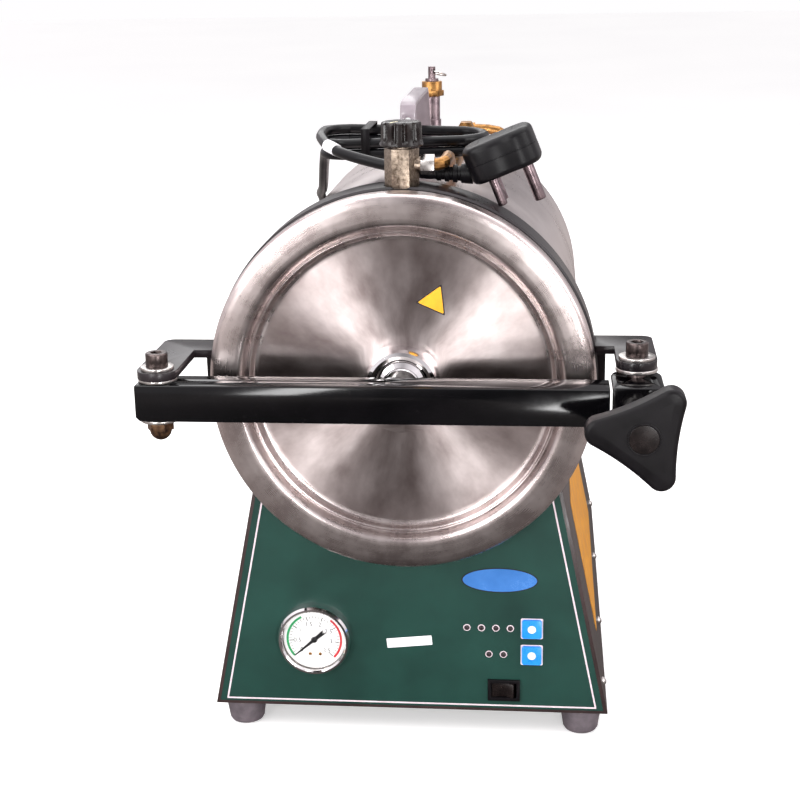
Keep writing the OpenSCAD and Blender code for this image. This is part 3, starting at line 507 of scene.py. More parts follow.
def smooth_path(points: np.ndarray, spacing: float) -> np.ndarray:
    """Draws a smooth curve through points and spaces it evenly.

    Each span is a Catmull-Rom cubic of its four nearest points, sampled densely and then
    resampled by arc length.

    Args:
        points: The route.
        spacing: Distance between the new points.

    Returns:
        The evenly spaced curve.
    """
    p = np.vstack([2 * points[0] - points[1], points, 2 * points[-1] - points[-2]])
    p0, p1, p2, p3 = p[:-3, None], p[1:-2, None], p[2:-1, None], p[3:, None]
    t = np.linspace(0.0, 1.0, 24, endpoint=False)[None, :, None]
    dense = 0.5 * (
        2 * p1 + (p2 - p0) * t + (2 * p0 - 5 * p1 + 4 * p2 - p3) * t**2
        + (3 * p1 - p0 - 3 * p2 + p3) * t**3
    )
    dense = np.vstack([dense.reshape(-1, points.shape[1]), points[-1:]])
    along = np.concatenate([[0.0], np.cumsum(np.linalg.norm(np.diff(dense, axis=0), axis=1))])
    places = np.linspace(0.0, along[-1], int(along[-1] / spacing) + 1)
    return np.stack([np.interp(places, along, dense[:, k]) for k in range(points.shape[1])], axis=1)


def loft(outline: np.ndarray, levels: Profile) -> np.ndarray:
    """Stacks copies of a flat outline, each drawn in by its level's inset along the normals.

    Args:
        outline: Points of a closed outline, anticlockwise.
        levels: (inset, height) of each copy.

    Returns:
        A grid of points, round the outline by up the levels, with height last.
    """
    edge = np.roll(outline, -1, axis=0) - np.roll(outline, 1, axis=0)
    normal = np.stack([edge[:, 1], -edge[:, 0]], axis=1)
    normal /= np.maximum(np.linalg.norm(normal, axis=1, keepdims=True), 1e-9)
    rows = np.asarray(levels, float)
    flat = outline[:, None] - normal[:, None] * rows[None, :, 0:1]
    height = np.broadcast_to(rows[None, :, 1:2], flat.shape[:2] + (1,))
    return np.concatenate([flat, height], axis=-1)


def facing_front(grid: np.ndarray, y: float, x: float = 0.0, z: float = 0.0) -> np.ndarray:
    """Lays a loft so that its outline is upright and its height runs forward from y.

    Args:
        grid: The loft.
        y: Where its foot is.
        x: Where its middle is, across.
        z: Where its middle is, upwards.

    Returns:
        The grid in place.
    """
    return np.stack([grid[..., 0] + x, y - grid[..., 2], grid[..., 1] + z], axis=-1)


class Builder:
    """Makes pieces out of grids and puts them on their CAD bodies."""

    def piece(
        self,
        name: str,
        grid: np.ndarray,
        finish: Finish,
        body: str,
        caps: bool = True,
        ring: bool = False,
    ) -> bpy.types.Object:
        """Makes one closed piece from a grid that is wrapped in its first direction.

        Args:
            name: The piece's name.
            grid: Points in millimetres, round by along.
            finish: Its finish.
            body: The CAD body it rides on.
            caps: Closes both ends with a flat face.
            ring: Joins the two ends to each other instead.

        Returns:
            The object.
        """
        n, m = grid.shape[:2]
        index = np.arange(n * m).reshape(n, m)
        right = np.roll(index, -1, axis=0)
        if ring:
            up = np.roll(index, -1, axis=1)
            quads = np.stack([index, right, np.roll(right, -1, axis=1), up], axis=-1)
        else:
            quads = np.stack([index[:, :-1], right[:, :-1], right[:, 1:], index[:, 1:]], axis=-1)
        faces = quads.reshape(-1, 4).tolist()
        if caps and not ring:
            faces += [index[::-1, 0].tolist(), index[:, -1].tolist()]
        return self.solid(name, placed(grid.reshape(-1, 3)), faces, finish, body)

    def solid(
        self,
        name: str,
        points: np.ndarray,
        faces: list[list[int]],
        finish: Finish,
        body: str,
    ) -> bpy.types.Object:
        """Makes a piece from points in metres and faces, merged and with outward normals.

        Args:
            name: The piece's name.
            points: Its points in the frame.
            faces: Point numbers of each face.
            finish: Its finish.
            body: The CAD body it rides on.

        Returns:
            The object.
        """
        mesh = bpy.data.meshes.new(name)
        mesh.from_pydata(points.tolist(), [], faces)
        work = bmesh.new()
        work.from_mesh(mesh)
        bmesh.ops.remove_doubles(work, verts=work.verts, dist=2e-6)
        bmesh.ops.dissolve_degenerate(work, edges=work.edges, dist=1e-7)
        bmesh.ops.recalc_face_normals(work, faces=work.faces)
        work.to_mesh(mesh)
        work.free()
        mesh.shade_smooth()
        mesh.set_sharp_from_angle(angle=np.radians(32))
        made = bpy.data.objects.new(name, mesh)
        bpy.context.scene.collection.objects.link(made)
        mesh.materials.append(finish.build())
        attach(made, body)
        LOG.info("%s: %d faces on %s", name, len(mesh.polygons), body)
        return made


def radial_uv(made: bpy.types.Object, centre: tuple[float, float]) -> None:
    """Gives a turned piece a UV map in millimetres: the arc round the drum's axis by the radius.

    Args:
        made: The piece.
        centre: The axis' x and z in metres, in the frame.
    """
    mesh = made.data
    points = np.zeros(len(mesh.vertices) * 3)
    mesh.vertices.foreach_get("co", points)
    corner = np.zeros(len(mesh.loops), int)
    mesh.loops.foreach_get("vertex_index", corner)
    starts = np.zeros(len(mesh.polygons), int)
    mesh.polygons.foreach_get("loop_start", starts)
    totals = np.zeros(len(mesh.polygons), int)
    mesh.polygons.foreach_get("loop_total", totals)
    at = points.reshape(-1, 3)[corner]
    angle = np.arctan2(at[:, 2] - centre[1], at[:, 0] - centre[0]) / (2 * np.pi)
    radius = np.hypot(at[:, 2] - centre[1], at[:, 0] - centre[0])
    top = np.repeat(np.maximum.reduceat(angle, starts), totals)
    angle = np.where(top - angle > 0.5, angle + 1.0, angle)
    flat = np.stack([angle * 900.0, radius * 1000.0 + at[:, 1] * 1000.0], axis=1)
    layer = mesh.uv_layers.new(name="brushing")
    layer.data.foreach_set("uv", flat.astype(np.float32).ravel())


# ---------------------------------------------------------------- lid


def ring_levels(outer: float, inner: float, front: float, back: float, ease: float) -> np.ndarray:
    """Section of a flat ring with rounded edges, as (radius, height) round a closed loop.

    Args:
        outer: Outer radius.
        inner: Inner radius.
        front: Height of the near face.
        back: Height of the far face.
        ease: Reach of the rounding.

    Returns:
        The section.
    """
    corners = [(outer, front), (outer, back), (inner, back), (inner, front)]
    return eased(corners, ease, closed=True)


@dataclass
class Lid:
    """The pressed lid: a rolled rim, two stiffening grooves, a shallow dish and a plain sticker."""

    radius: float = 143.0
    steps: int = 192
    dish: float = 112.0
    sticker_at: tuple = (24.0, 62.5)
    sticker_half: float = 13.8

    def outline(self) -> np.ndarray:
        """Section of the pressing, from the front's middle round the rim to the back's middle.

        Returns:
            Radius and depth of each point.
        """
        r = self.radius
        front = [
            (0.0, 15.0), (40.0, 15.0), (70.0, 14.7), (95.0, 14.2), (107.5, 13.9), (111.0, 13.2),
            (112.6, 10.6), (113.3, 8.0), (114.6, 7.2), (115.6, 8.6), (116.6, 7.9), (117.8, 5.0),
            (119.2, 2.2), (121.2, 0.6),
            (124.5, 0.15), (130.0, 0.05), (136.0, 0.25), (139.6, 0.9), (r - 1.4, 2.1), (r - 0.35, 4.0),
        ]
        back = [
            (r, 6.5), (r, 17.9), (r - 0.8, 18.5), (r - 2.8, 18.5), (r - 2.8, 4.8), (r - 4.8, 2.8),
            (129.0, 2.8), (129.0, 19.5), (126.2, 19.5), (126.2, 16.5), (117.8, 16.5), (117.8, 19.5),
            (0.0, 19.5),
        ]
        return eased(front + back, 1.1, steps=4)

    def build(self, builder: Builder) -> None:
        """Makes the pressing with its two brushings, and the sticker.

        Args:
            builder: Makes the pieces.
        """
        grid = turned(self.outline(), Axis.Y, (0.0, 0.0), self.steps)
        # The dish's finish holds painted reflection in its wide light and dark patches.
        made = builder.piece("pressed_lid", grid, SPUN_STEEL, "lid", caps=False)
        made.data.materials.append(RIM_STEEL.build())
        axis = (SHIFT[0] / 1000.0, SHIFT[2] / 1000.0)
        radial_uv(made, axis)
        mesh = made.data
        centre = np.zeros(len(mesh.polygons) * 3)
        mesh.polygons.foreach_get("center", centre)
        centre = centre.reshape(-1, 3)
        away = np.hypot(centre[:, 0] - axis[0], centre[:, 2] - axis[1]) * 1000.0
        outer = (away > self.dish - 3.0).astype(int)
        mesh.polygons.foreach_set("material_index", outer)
        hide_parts("lid_disc")
        self.sticker(builder)

    def sticker(self, builder: Builder) -> None:
        """Puts a plain yellow triangle with a dark edge on the dish, without a sign on it.

        Args:
            builder: Makes the pieces.
        """
        for name, half, low, high, finish in (
            ("sticker_edge", self.sticker_half, 14.70, 14.42, BLACK_INK),
            ("sticker_face", self.sticker_half - 1.7, 14.45, 14.36, YELLOW_FILM),
        ):
            a = np.radians(np.array([66.0, 186.0, 306.0]))
            corners = half * np.column_stack([np.cos(a), np.sin(a)])
            outline = eased([tuple(c) for c in corners], 1.6, closed=True, steps=6)
            grid = loft(outline, [(0.0, 0.0), (0.0, low - high)])
            placed_grid = facing_front(grid, low, *self.sticker_at)
            builder.piece(name, placed_grid, finish, "lid")


# ---------------------------------------------------------------- knobs


def lobed(reach: float, tip: float, waist: float, angles: tuple, steps: int = 22) -> np.ndarray:
    """Outline of a three-lobed knob: round tips joined by shallow hollows tangent to them.

    Args:
        reach: Distance from the middle to a tip's end.
        tip: Radius of a tip.
        waist: Distance from the middle to the bottom of a hollow.
        angles: Directions of the tips in degrees.
        steps: Points on each arc.

    Returns:
        The outline, anticlockwise.
    """
    far_tip = reach - tip
    dip = waist - tip
    far = (far_tip**2 - dip**2) / (far_tip - 2 * dip)
    hollow = far - waist
    points = []
    for angle in angles:
        c = far_tip * np.array([np.cos(np.radians(angle)), np.sin(np.radians(angle))])
        here, there = np.radians(angle + 60), np.radians(angle - 60)
        next_c = far * np.array([np.cos(here), np.sin(here)])
        last_c = far * np.array([np.cos(there), np.sin(there)])
        start = np.arctan2(*(last_c - c)[::-1])
        end = np.arctan2(*(next_c - c)[::-1])
        end += 2 * np.pi if end < start else 0.0
        for a in np.linspace(start, end, steps):
            points.append(c + tip * np.array([np.cos(a), np.sin(a)]))
        far_next = far_tip * np.array([np.cos(np.radians(angle + 120)), np.sin(np.radians(angle + 120))])
        from_a = np.arctan2(*(c - next_c)[::-1])
        to_a = np.arctan2(*(far_next - next_c)[::-1])
        turn = (to_a - from_a + np.pi) % (2 * np.pi) - np.pi
        for a in np.linspace(from_a, from_a + turn, steps)[1:-1]:
            points.append(next_c + hollow * np.array([np.cos(a), np.sin(a)]))
    return np.array(points)


@dataclass
class ClampKnob:
    """The moulded tri-lobe knob: a domed plate with a recessed cap and a boss behind."""

    x: float = 170.0
    front: float = -116.0
    thick: float = 17.0
    reach: float = 39.0
    cap: float = 10.3

    def build(self, builder: Builder) -> None:
        """Makes the plate, its cap and its boss.

        Args:
            builder: Makes the pieces.
        """
        outline = lobed(self.reach, 9.5, 22.5, (54.0, 174.0, 294.0))
        q = np.linspace(0.0, np.pi / 2, 6)
        back = [(2.2 * (1 - np.sin(a)), 2.2 * (1 - np.cos(a))) for a in q]
        rim = [(3.6 * (1 - np.cos(a)), self.thick - 3.6 + 3.0 * np.sin(a)) for a in q]
        crown = [(6.5, self.thick - 0.35), (8.0, self.thick - 0.2)]
        grid = facing_front(loft(outline, back + rim + crown), self.front + self.thick, self.x, 0.0)
        made = builder.piece("clamp_knob_plate", grid, BLACK_NYLON, "clamp_knob")
        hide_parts("clamp_knob")
        y = self.front
        groove = ring_levels(self.cap + 0.9, self.cap, y - 0.55, y + 1.0, 0.3)
        ridge = turned(groove, Axis.Y, (self.x, 0.0), 72)
        builder.piece("clamp_knob_rim", ridge, BLACK_NYLON, "clamp_knob", ring=True)
        disc = eased([(0.0, y - 0.1), (self.cap - 0.5, y - 0.1), (self.cap - 0.1, y + 1.0)], 0.3)
        face = turned(disc, Axis.Y, (self.x, 0.0), 72)
        builder.piece("clamp_knob_cap", face, VALVE_PHENOLIC, "clamp_knob")
        boss_line = eased([(13.6, y + self.thick - 1.0), (13.9, y + self.thick + 10.0),
            (12.6, y + self.thick + 11.6), (6.2, y + self.thick + 11.6), (6.2, y + self.thick - 1.0)], 0.8)
        boss = turned(boss_line, Axis.Y, (self.x, 0.0), 64)
        builder.piece("clamp_knob_boss", boss, BLACK_NYLON, "clamp_knob", ring=True)


@dataclass
class ValveKnob:
    """The exhaust valve's fluted phenolic knob with a flared skirt and a cream index line."""

    centre: tuple = (0.0, 35.0)
    base: float = 172.8
    height: float = 17.5
    radius: float = 16.0
    flutes: int = 12
    index_at: float = 250.0

    def build(self, builder: Builder) -> None:
        """Makes the knob as rings whose flutes fade into the skirt and the crown.

        Args:
            builder: Makes the pieces.
        """
        levels = [
            (1.0, 0.0, 0.0), (0.3, 0.25, 0.0), (0.0, 0.9, 0.0), (0.15, 1.9, 0.05), (0.6, 3.0, 0.35),
            (0.9, 4.4, 0.9), (1.0, 6.5, 1.0), (1.1, 12.0, 1.0), (1.25, 15.2, 0.95), (1.6, 16.4, 0.75),
            (2.5, 17.1, 0.45), (3.8, 17.4, 0.15), (6.0, 17.5, 0.0), (15.0, 17.5, 0.0),
        ]
        a = np.linspace(0.0, 2 * np.pi, self.flutes * 16, endpoint=False)
        wave = 0.5 - 0.5 * np.cos(self.flutes * a)
        hollow = 2.3 * np.clip((wave - 0.52) / 0.48, 0.0, 1.0) ** 0.8
        rows = []
        for inset, height, share in levels:
            r = self.radius - inset - share * hollow
            x = self.centre[0] + r * np.cos(a)
            y = self.centre[1] + r * np.sin(a)
            rows.append(np.stack([x, y, np.full_like(a, self.base + height)], axis=-1))
        grid = np.stack(rows, axis=1)
        made = builder.piece("valve_knob_body", grid, VALVE_PHENOLIC, "valve_knob")
        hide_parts("valve_knob")
        stem = turned(np.array([(3.9, self.base - 13.0), (3.9, self.base + 1.0)]), Axis.Z, self.centre, 32)
        builder.piece("valve_spindle", stem, ZINC, "valve_knob")
        self.index(builder)

    def index(self, builder: Builder) -> None:
        """Paints the index line up the side and over the crown.

        Args:
            builder: Makes the pieces.
        """
        line = [(14.92, 4.6), (14.78, 9.0), (14.68, 13.6), (14.5, 15.4), (13.9, 16.5), (12.9, 17.2),
            (11.6, 17.47), (8.5, 17.52), (5.0, 17.52)]
        turn = np.radians(self.index_at - self.index_at % 30.0)
        out = np.array([np.cos(turn), np.sin(turn), 0.0])
        side = np.array([-np.sin(turn), np.cos(turn), 0.0])
        grid = []
        for s, lift in ((-0.75, -0.1), (-0.75, 0.06), (0.75, 0.06), (0.75, -0.1)):
            column = [
                np.array([*self.centre, self.base]) + out * (r + (lift if h < 16.8 else 0.0)) + side * s
                + np.array([0.0, 0.0, h + (lift if h >= 16.8 else 0.0)])
                for r, h in line
            ]
            grid.append(column)
        builder.piece("valve_index_line", np.array(grid), CREAM_PAINT, "valve_knob")


# ---------------------------------------------------------------- plug


@dataclass
class Plug:
    """The moulded three-pin plug, lying over the drum's shoulder with its pins down."""

    middle: tuple = (72.0, 50.0, 165.5)
    tilt: float = -22.0
    depth: float = 28.0
    pin: float = 20.6
    relief: tuple = (24.0, 52.0, 150.0)

    def laid(self, grid: np.ndarray) -> np.ndarray:
        """Tilts points given about the plug's middle and moves them to their place.

        Args:
            grid: Points about the plug's middle.

        Returns:
            The points in place.
        """
        a = np.radians(self.tilt)
        x = grid[..., 0] * np.cos(a) + grid[..., 2] * np.sin(a)
        z = -grid[..., 0] * np.sin(a) + grid[..., 2] * np.cos(a)
        return np.stack([x, grid[..., 1], z], axis=-1) + np.array(self.middle)

    def outline(self) -> np.ndarray:
        """Outline of the body: wide in the middle, drawn in at both ends.

        Returns:
            The outline, anticlockwise.
        """
        corners = [
            (27.0, -10.5), (24.0, -19.5), (14.0, -24.8), (3.0, -23.0), (-8.0, -24.8), (-21.0, -22.5),
            (-27.0, -12.0), (-27.0, 12.0), (-21.0, 22.5), (-8.0, 24.8), (3.0, 23.0), (14.0, 24.8),
            (24.0, 19.5), (27.0, 10.5),
        ]
        return eased(corners[::-1], 7.0, closed=True, steps=6)

    def build(self, builder: Builder) -> None:
        """Makes the two body halves with their parting line, the pins and the ribbed relief.

        Args:
            builder: Makes the pieces.
        """
        half = self.depth / 2
        q = np.linspace(0.0, np.pi / 2, 7)
        low = [(4.0 * (1 - np.sin(a)), -half + 4.0 * (1 - np.cos(a))) for a in q]
        seam = [(0.0, -0.5), (0.45, -0.3), (0.45, 0.3), (0.0, 0.5)]
        top = [(5.5 * (1 - np.cos(a)), half - 5.5 + 5.0 * np.sin(a)) for a in q]
        crown = [(9.0, half - 0.3), (13.0, half - 0.1)]
        body = self.laid(loft(self.outline(), low + seam + top + crown))
        made = builder.piece("plug_shell", body, PLUG_PVC, "machine")
        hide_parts("plug_body")
        for number, (x, y, r, length) in enumerate(
            ((-12.0, 12.5, 3.5, self.pin), (-12.0, -12.5, 3.5, self.pin), (14.0, 0.0, 4.3, self.pin + 8.0))
        ):
            line = np.array([
                (0.0, -half - length), (r - 1.0, -half - length), (r - 0.3, -half - length + 0.4),
                (r, -half - length + 1.2), (r, -half + 1.0), (0.0, -half + 1.0),
            ])
            pin = self.laid(turned(line, Axis.Z, (x, y), 28))
            builder.piece(f"plug_pin_{number}", pin, PLATED_BODY, "machine")
        self.strain_relief(builder)

    def strain_relief(self, builder: Builder) -> None:
        """Makes the cone of the relief with its four ribs.

        Args:
            builder: Makes the pieces.
        """
        tip = np.array(self.relief)
        places = [0.0, 1.0, 3.4, 3.8, 6.0, 6.4, 9.4, 9.8, 12.0, 12.4, 15.4, 15.8, 18.0, 18.4, 21.5, 27.0]
        radii = [4.6, 5.3, 5.3, 4.5, 4.6, 5.9, 6.0, 4.9, 5.0, 6.5, 6.6, 5.4, 5.6, 7.0, 7.4, 7.8]
        path = tip + np.column_stack([places, np.zeros(16), np.zeros(16)])
        grid = swept(path, np.array(radii), 28)
        builder.piece("plug_relief", grid, PLUG_PVC, "machine")


# ---------------------------------------------------------------- panel


@dataclass
class PanelPrint:
    """Everything printed or stuck on the green overlay, without words."""

    face: float = 32.5
    lift: float = 0.08
    foot: tuple = (158.0, -277.5)
    shoulder: tuple = (115.0, -68.0)
    inset: float = 8.0
    line: float = 1.3
    lamps: tuple = (
        (46.2, -205.0), (57.6, -205.0), (69.0, -205.0), (80.4, -205.0), (63.6, -227.5), (75.0, -227.5),
    )
    rocker_front: float = 30.0
    rocker_slope: float = 0.302
    buttons: tuple = (("start_button", 97.3, -204.8), ("select_button", 97.3, -227.4))

    def strip(
        self,
        builder: Builder,
        name: str,
        corners: list,
        finish: Finish,
        y: float = 0.0,
        body: str = "machine",
        ease: float = 0.0,
    ) -> bpy.types.Object:
        """Lays a thin film with the given corners on the panel, or on y forward of it.

        Args:
            builder: Makes the piece.
            name: The piece's name.
            corners: Its outline as (x, z), anticlockwise.
            finish: Its finish.
            y: How far forward of the panel it starts.
            body: The CAD body it rides on.
            ease: Reach of its rounded corners.

        Returns:
            The object.
        """
        outline = eased(corners, ease, closed=True, steps=6) if ease else np.array(corners)
        grid = facing_front(loft(outline, [(0.0, 0.0), (0.0, self.lift)]), self.face - y)
        return builder.piece(name, grid, finish, body)

    def border(self, builder: Builder) -> None:
        """Prints the pale line along the two sides and the foot of the panel.

        Args:
            builder: Makes the pieces.
        """
        slope = (self.foot[0] - self.shoulder[0]) / (self.shoulder[1] - self.foot[1])
        low = self.foot[1] + 6.0
        high = self.shoulder[1] - 6.0

        def edge(z: float, off: float) -> float:
            """Half width of the panel at a height.

            Args:
                z: The height.
                off: How far in from the edge.

            Returns:
                The half width.
            """
            return self.foot[0] - slope * (z - self.foot[1]) - off

        for side in (-1, 1):
            corners = [
                (side * edge(low, self.inset), low), (side * edge(high, self.inset), high),
                (side * edge(high, self.inset + self.line), high),
                (side * edge(low, self.inset + self.line), low),
            ]
            self.strip(builder, f"border_side_{side}", corners[::-side], PINK_INK)
        reach = edge(low, self.inset)
        self.strip(
            builder, "border_foot",
            [(-reach, low - self.line), (reach, low - self.line), (reach, low), (-reach, low)], PINK_INK,
        )

    def rings(self, builder: Builder) -> None:
        """Prints a ring round each lamp and sets a small dome in it.

        Args:
            builder: Makes the pieces.
        """
        for number, (x, z) in enumerate(self.lamps):
            line = ring_levels(2.9, 2.1, self.face - self.lift, self.face + 0.1, 0.03)
            grid = turned(line, Axis.Y, (x, z), 36)
            builder.piece(f"lamp_ring_{number}", grid, PINK_INK, "machine", ring=True)
            y = self.face
            dome = [(0.0, y - 1.1), (1.2, y - 0.95), (1.95, y - 0.1), (1.95, y + 1.0), (0.0, y + 1.0)]
            grid = turned(eased(dome, 0.3), Axis.Y, (x, z), 24)
            builder.piece(f"lamp_dome_{number}", grid, LAMP_PLASTIC, "machine")

    def caps(self, builder: Builder) -> None:
        """Frames each blue button in white and puts its round white key in the middle.

        Args:
            builder: Makes the pieces.
        """
        for body, x, z in self.buttons:
            low, high, left, right = z - 8.7, z + 8.7, x - 8.7, x + 8.7
            frame_line = [(left, low), (right, low), (right, high), (left, high)]
            self.strip(builder, f"{body}_frame", frame_line, PINK_INK, ease=1.4)
            dome = [(0.0, 29.55), (2.0, 29.62), (2.9, 29.9), (3.3, 30.45), (3.3, 30.7), (0.0, 30.7)]
            key = turned(eased(dome, 0.3), Axis.Y, (x, z), 36)
            builder.piece(f"{body}_key", key, WHITE_PLASTIC, body)

    def marks(self, builder: Builder) -> None:
        """Prints the two marks of the rocker switch: a circle for off and a dash for on.

        Args:
            builder: Makes the pieces.
        """
        a = np.radians(8.0)
        pivot = np.array([75.5, 37.0])

        def on_face(grid: np.ndarray) -> np.ndarray:
            """Moves a grid from the level rocker onto the tilted one.

            Args:
                grid: Points as x, height over the face, and z.

            Returns:
                The points in place.
            """
            rise = self.rocker_slope * (8.6 - np.abs(grid[..., 0]))
            over = self.rocker_front + rise + grid[..., 1] - pivot[1]
            x = pivot[0] + grid[..., 0] * np.cos(a) + over * np.sin(a)
            y = pivot[1] - grid[..., 0] * np.sin(a) + over * np.cos(a)
            return np.stack([x, y, grid[..., 2] - 260.2], axis=-1)

        ring = turned(ring_levels(1.6, 1.1, -0.06, 0.15, 0.02), Axis.Y, (-2.8, 0.0), 32)
        builder.piece("rocker_mark_off", on_face(ring), PINK_INK, "power_rocker", ring=True)
        dash = np.array([(3.6, -0.3), (6.8, -0.3), (6.8, 0.3), (3.6, 0.3)])
        grid = facing_front(loft(dash, [(0.0, -0.15), (0.0, 0.06)]), 0.0)
        builder.piece("rocker_mark_on", on_face(grid), PINK_INK, "power_rocker")

    def build(self, builder: Builder) -> None:
        """Makes all the prints and labels.

        Args:
            builder: Makes the pieces.
        """
        self.border(builder)
        self.rings(builder)
        self.caps(builder)
        a = np.linspace(0.0, 2 * np.pi, 64, endpoint=False)
        oval = [(72.0 + 29.0 * np.cos(t), -164.3 + 9.6 * np.sin(t)) for t in a]
        rim = [(72.0 + 30.0 * np.cos(t), -164.3 + 10.4 * np.sin(t)) for t in a]
        self.strip(builder, "badge_rim", rim, BLACK_INK)
        self.strip(builder, "badge_face", oval, BADGE_INK, self.lift)
        tilt = np.radians(6.0)
        box = [(-18.0, -4.0), (18.0, -4.0), (18.0, 4.0), (-18.0, 4.0)]
        c, s = np.cos(tilt), np.sin(tilt)
        label = [(0.5 + x * c - z * s, -218.5 + x * s + z * c) for x, z in box]
        self.strip(builder, "blank_label", label, WHITE_LABEL, ease=0.4)


@dataclass
class GaugePrint:
    """The gauge's scale: ticks, numbers, a green arc and a red one, and two brass screws."""

    centre: tuple = (-75.0, -216.5)
    face: float = 27.69
    first: float = 221.0
    last: float = -44.0
    number_r: float = 13.6

    def arc(self, r0: float, r1: float, start: float, end: float, lift: float) -> np.ndarray:
        """Grid of a flat arc on the dial between two radii and two directions in degrees.

        Args:
            r0: Inner radius.
            r1: Outer radius.
            start: First direction.
            end: Last direction.
            lift: Thickness of the print.

        Returns:
            The grid.
        """
        a = np.radians(np.linspace(start, end, 40))
        inner = np.column_stack([r0 * np.cos(a), r0 * np.sin(a)])
        outer = np.column_stack([r1 * np.cos(a), r1 * np.sin(a)])
        outline = np.vstack([outer, inner[::-1]]) + np.array(self.centre)
        if start > end:
            outline = outline[::-1]
        return facing_front(loft(outline, [(0.0, 0.0), (0.0, lift)]), self.face)

    def build(self, builder: Builder) -> None:
        """Prints the scale from 0 at the lower left clockwise to 3.5 at the lower right.

        Args:
            builder: Makes the pieces.
        """
        first, last = self.first, self.last
        for name, start, end, ink in (
            ("dial_arc_green", first, 117.0, GREEN_INK),
            ("dial_arc_red", 52.0, last, RED_INK),
        ):
            builder.piece(name, self.arc(20.5, 22.4, start, end, 0.05), ink, "machine")
        for step in range(36):
            angle = np.radians(first + (last - first) * step / 35)
            major = step % 5 == 0
            r0, r1, half = (16.4, 20.2, 0.36) if major else (18.0, 20.2, 0.2)
            out = np.array([np.cos(angle), np.sin(angle)])
            side = np.array([-out[1], out[0]])
            corners = [
                r0 * out - half * side, r1 * out - half * side,
                r1 * out + half * side, r0 * out + half * side,
            ]
            outline = np.array(corners) + np.array(self.centre)
            grid = facing_front(loft(outline, [(0, 0), (0, 0.05)]), self.face)
            builder.piece(f"dial_tick_{step}", grid, BLACK_INK, "machine")
        for number in range(8):
            angle = np.radians(first + (last - first) * number / 7)
            at = np.array(self.centre) + self.number_r * np.array([np.cos(angle), np.sin(angle)])
            self.number(builder, f"{number / 2:g}", at)
        for x in (-3.6, 4.4):
            y = self.face
            line = eased([(0.0, y - 0.55), (1.0, y - 0.5), (1.35, y - 0.1), (1.35, y)], 0.2)
            grid = turned(line, Axis.Y, (self.centre[0] + x, self.centre[1] - 12.5), 24)
            builder.piece(f"dial_screw_{x:g}", grid, BRASS, "machine")
        hub = eased([(0.0, 25.55), (1.6, 25.6), (2.2, 25.9), (2.3, 26.4), (0.0, 26.4)], 0.3)
        grid = turned(hub, Axis.Y, self.centre, 32)
        builder.piece("needle_hub", grid, BLACK_INK, "gauge_needle")

    def number(self, builder: Builder, text: str, at: np.ndarray) -> None:
        """Makes one dial number as a flat mesh.

        Args:
            builder: Makes the piece.
            text: The number.
            at: Its middle, as x and z.
        """
        curve = bpy.data.curves.new("dial number", "FONT")
        curve.body = text
        curve.size = 0.0052
        curve.extrude = 0.00002
        curve.align_x = "CENTER"
        curve.align_y = "CENTER"
        made = bpy.data.objects.new("dial number", curve)
        bpy.context.scene.collection.objects.link(made)
        bpy.context.view_layer.update()
        mesh = bpy.data.meshes.new_from_object(made)
        bpy.data.objects.remove(made)
        points = np.zeros(len(mesh.vertices) * 3)
        mesh.vertices.foreach_get("co", points)
        flat = points.reshape(-1, 3) * 1000.0
        grid = np.column_stack([flat[:, 0] + at[0], self.face - 0.03 - flat[:, 2], flat[:, 1] + at[1]])
        faces = [list(p.vertices) for p in mesh.polygons]
        builder.solid(f"dial_number_{text}", placed(grid), faces, BLACK_INK, "machine")


# ---------------------------------------------------------------- small pieces


@dataclass
class Small:
    """The tan pads over the feet and the blank tag round the cord."""

    def build(self, builder: Builder) -> None:
        """Makes the tan pads over the feet and the cord's blank tag.

        Args:
            builder: Makes the pieces.
        """
        route = [(-66.5, 123.8, 162.1), (-63.5, 119.2, 161.4), (-60.0, 114.3, 160.5), (-57.5, 110.6, 159.8)]
        path = smooth_path(np.array(route), 1.5)
        grid = swept(path, np.full(len(path), 4.75), 28)
        builder.piece("blank_tag", grid, WHITE_LABEL, "machine")
        for x in (-137.0, 137.0):
            for y in (53.0, 478.0):
                corners = [(15.9, -279.2), (16.7, -279.2), (16.7, -277.7), (15.9, -277.7)]
                line = eased(corners, 0.2, closed=True)
                grid = turned(line, Axis.Z, (x, y), 48)
                builder.piece(f"foot_pad_{x:g}_{y:g}", grid, CREAM_PAINT, "machine", ring=True)


# ---------------------------------------------------------------- cord


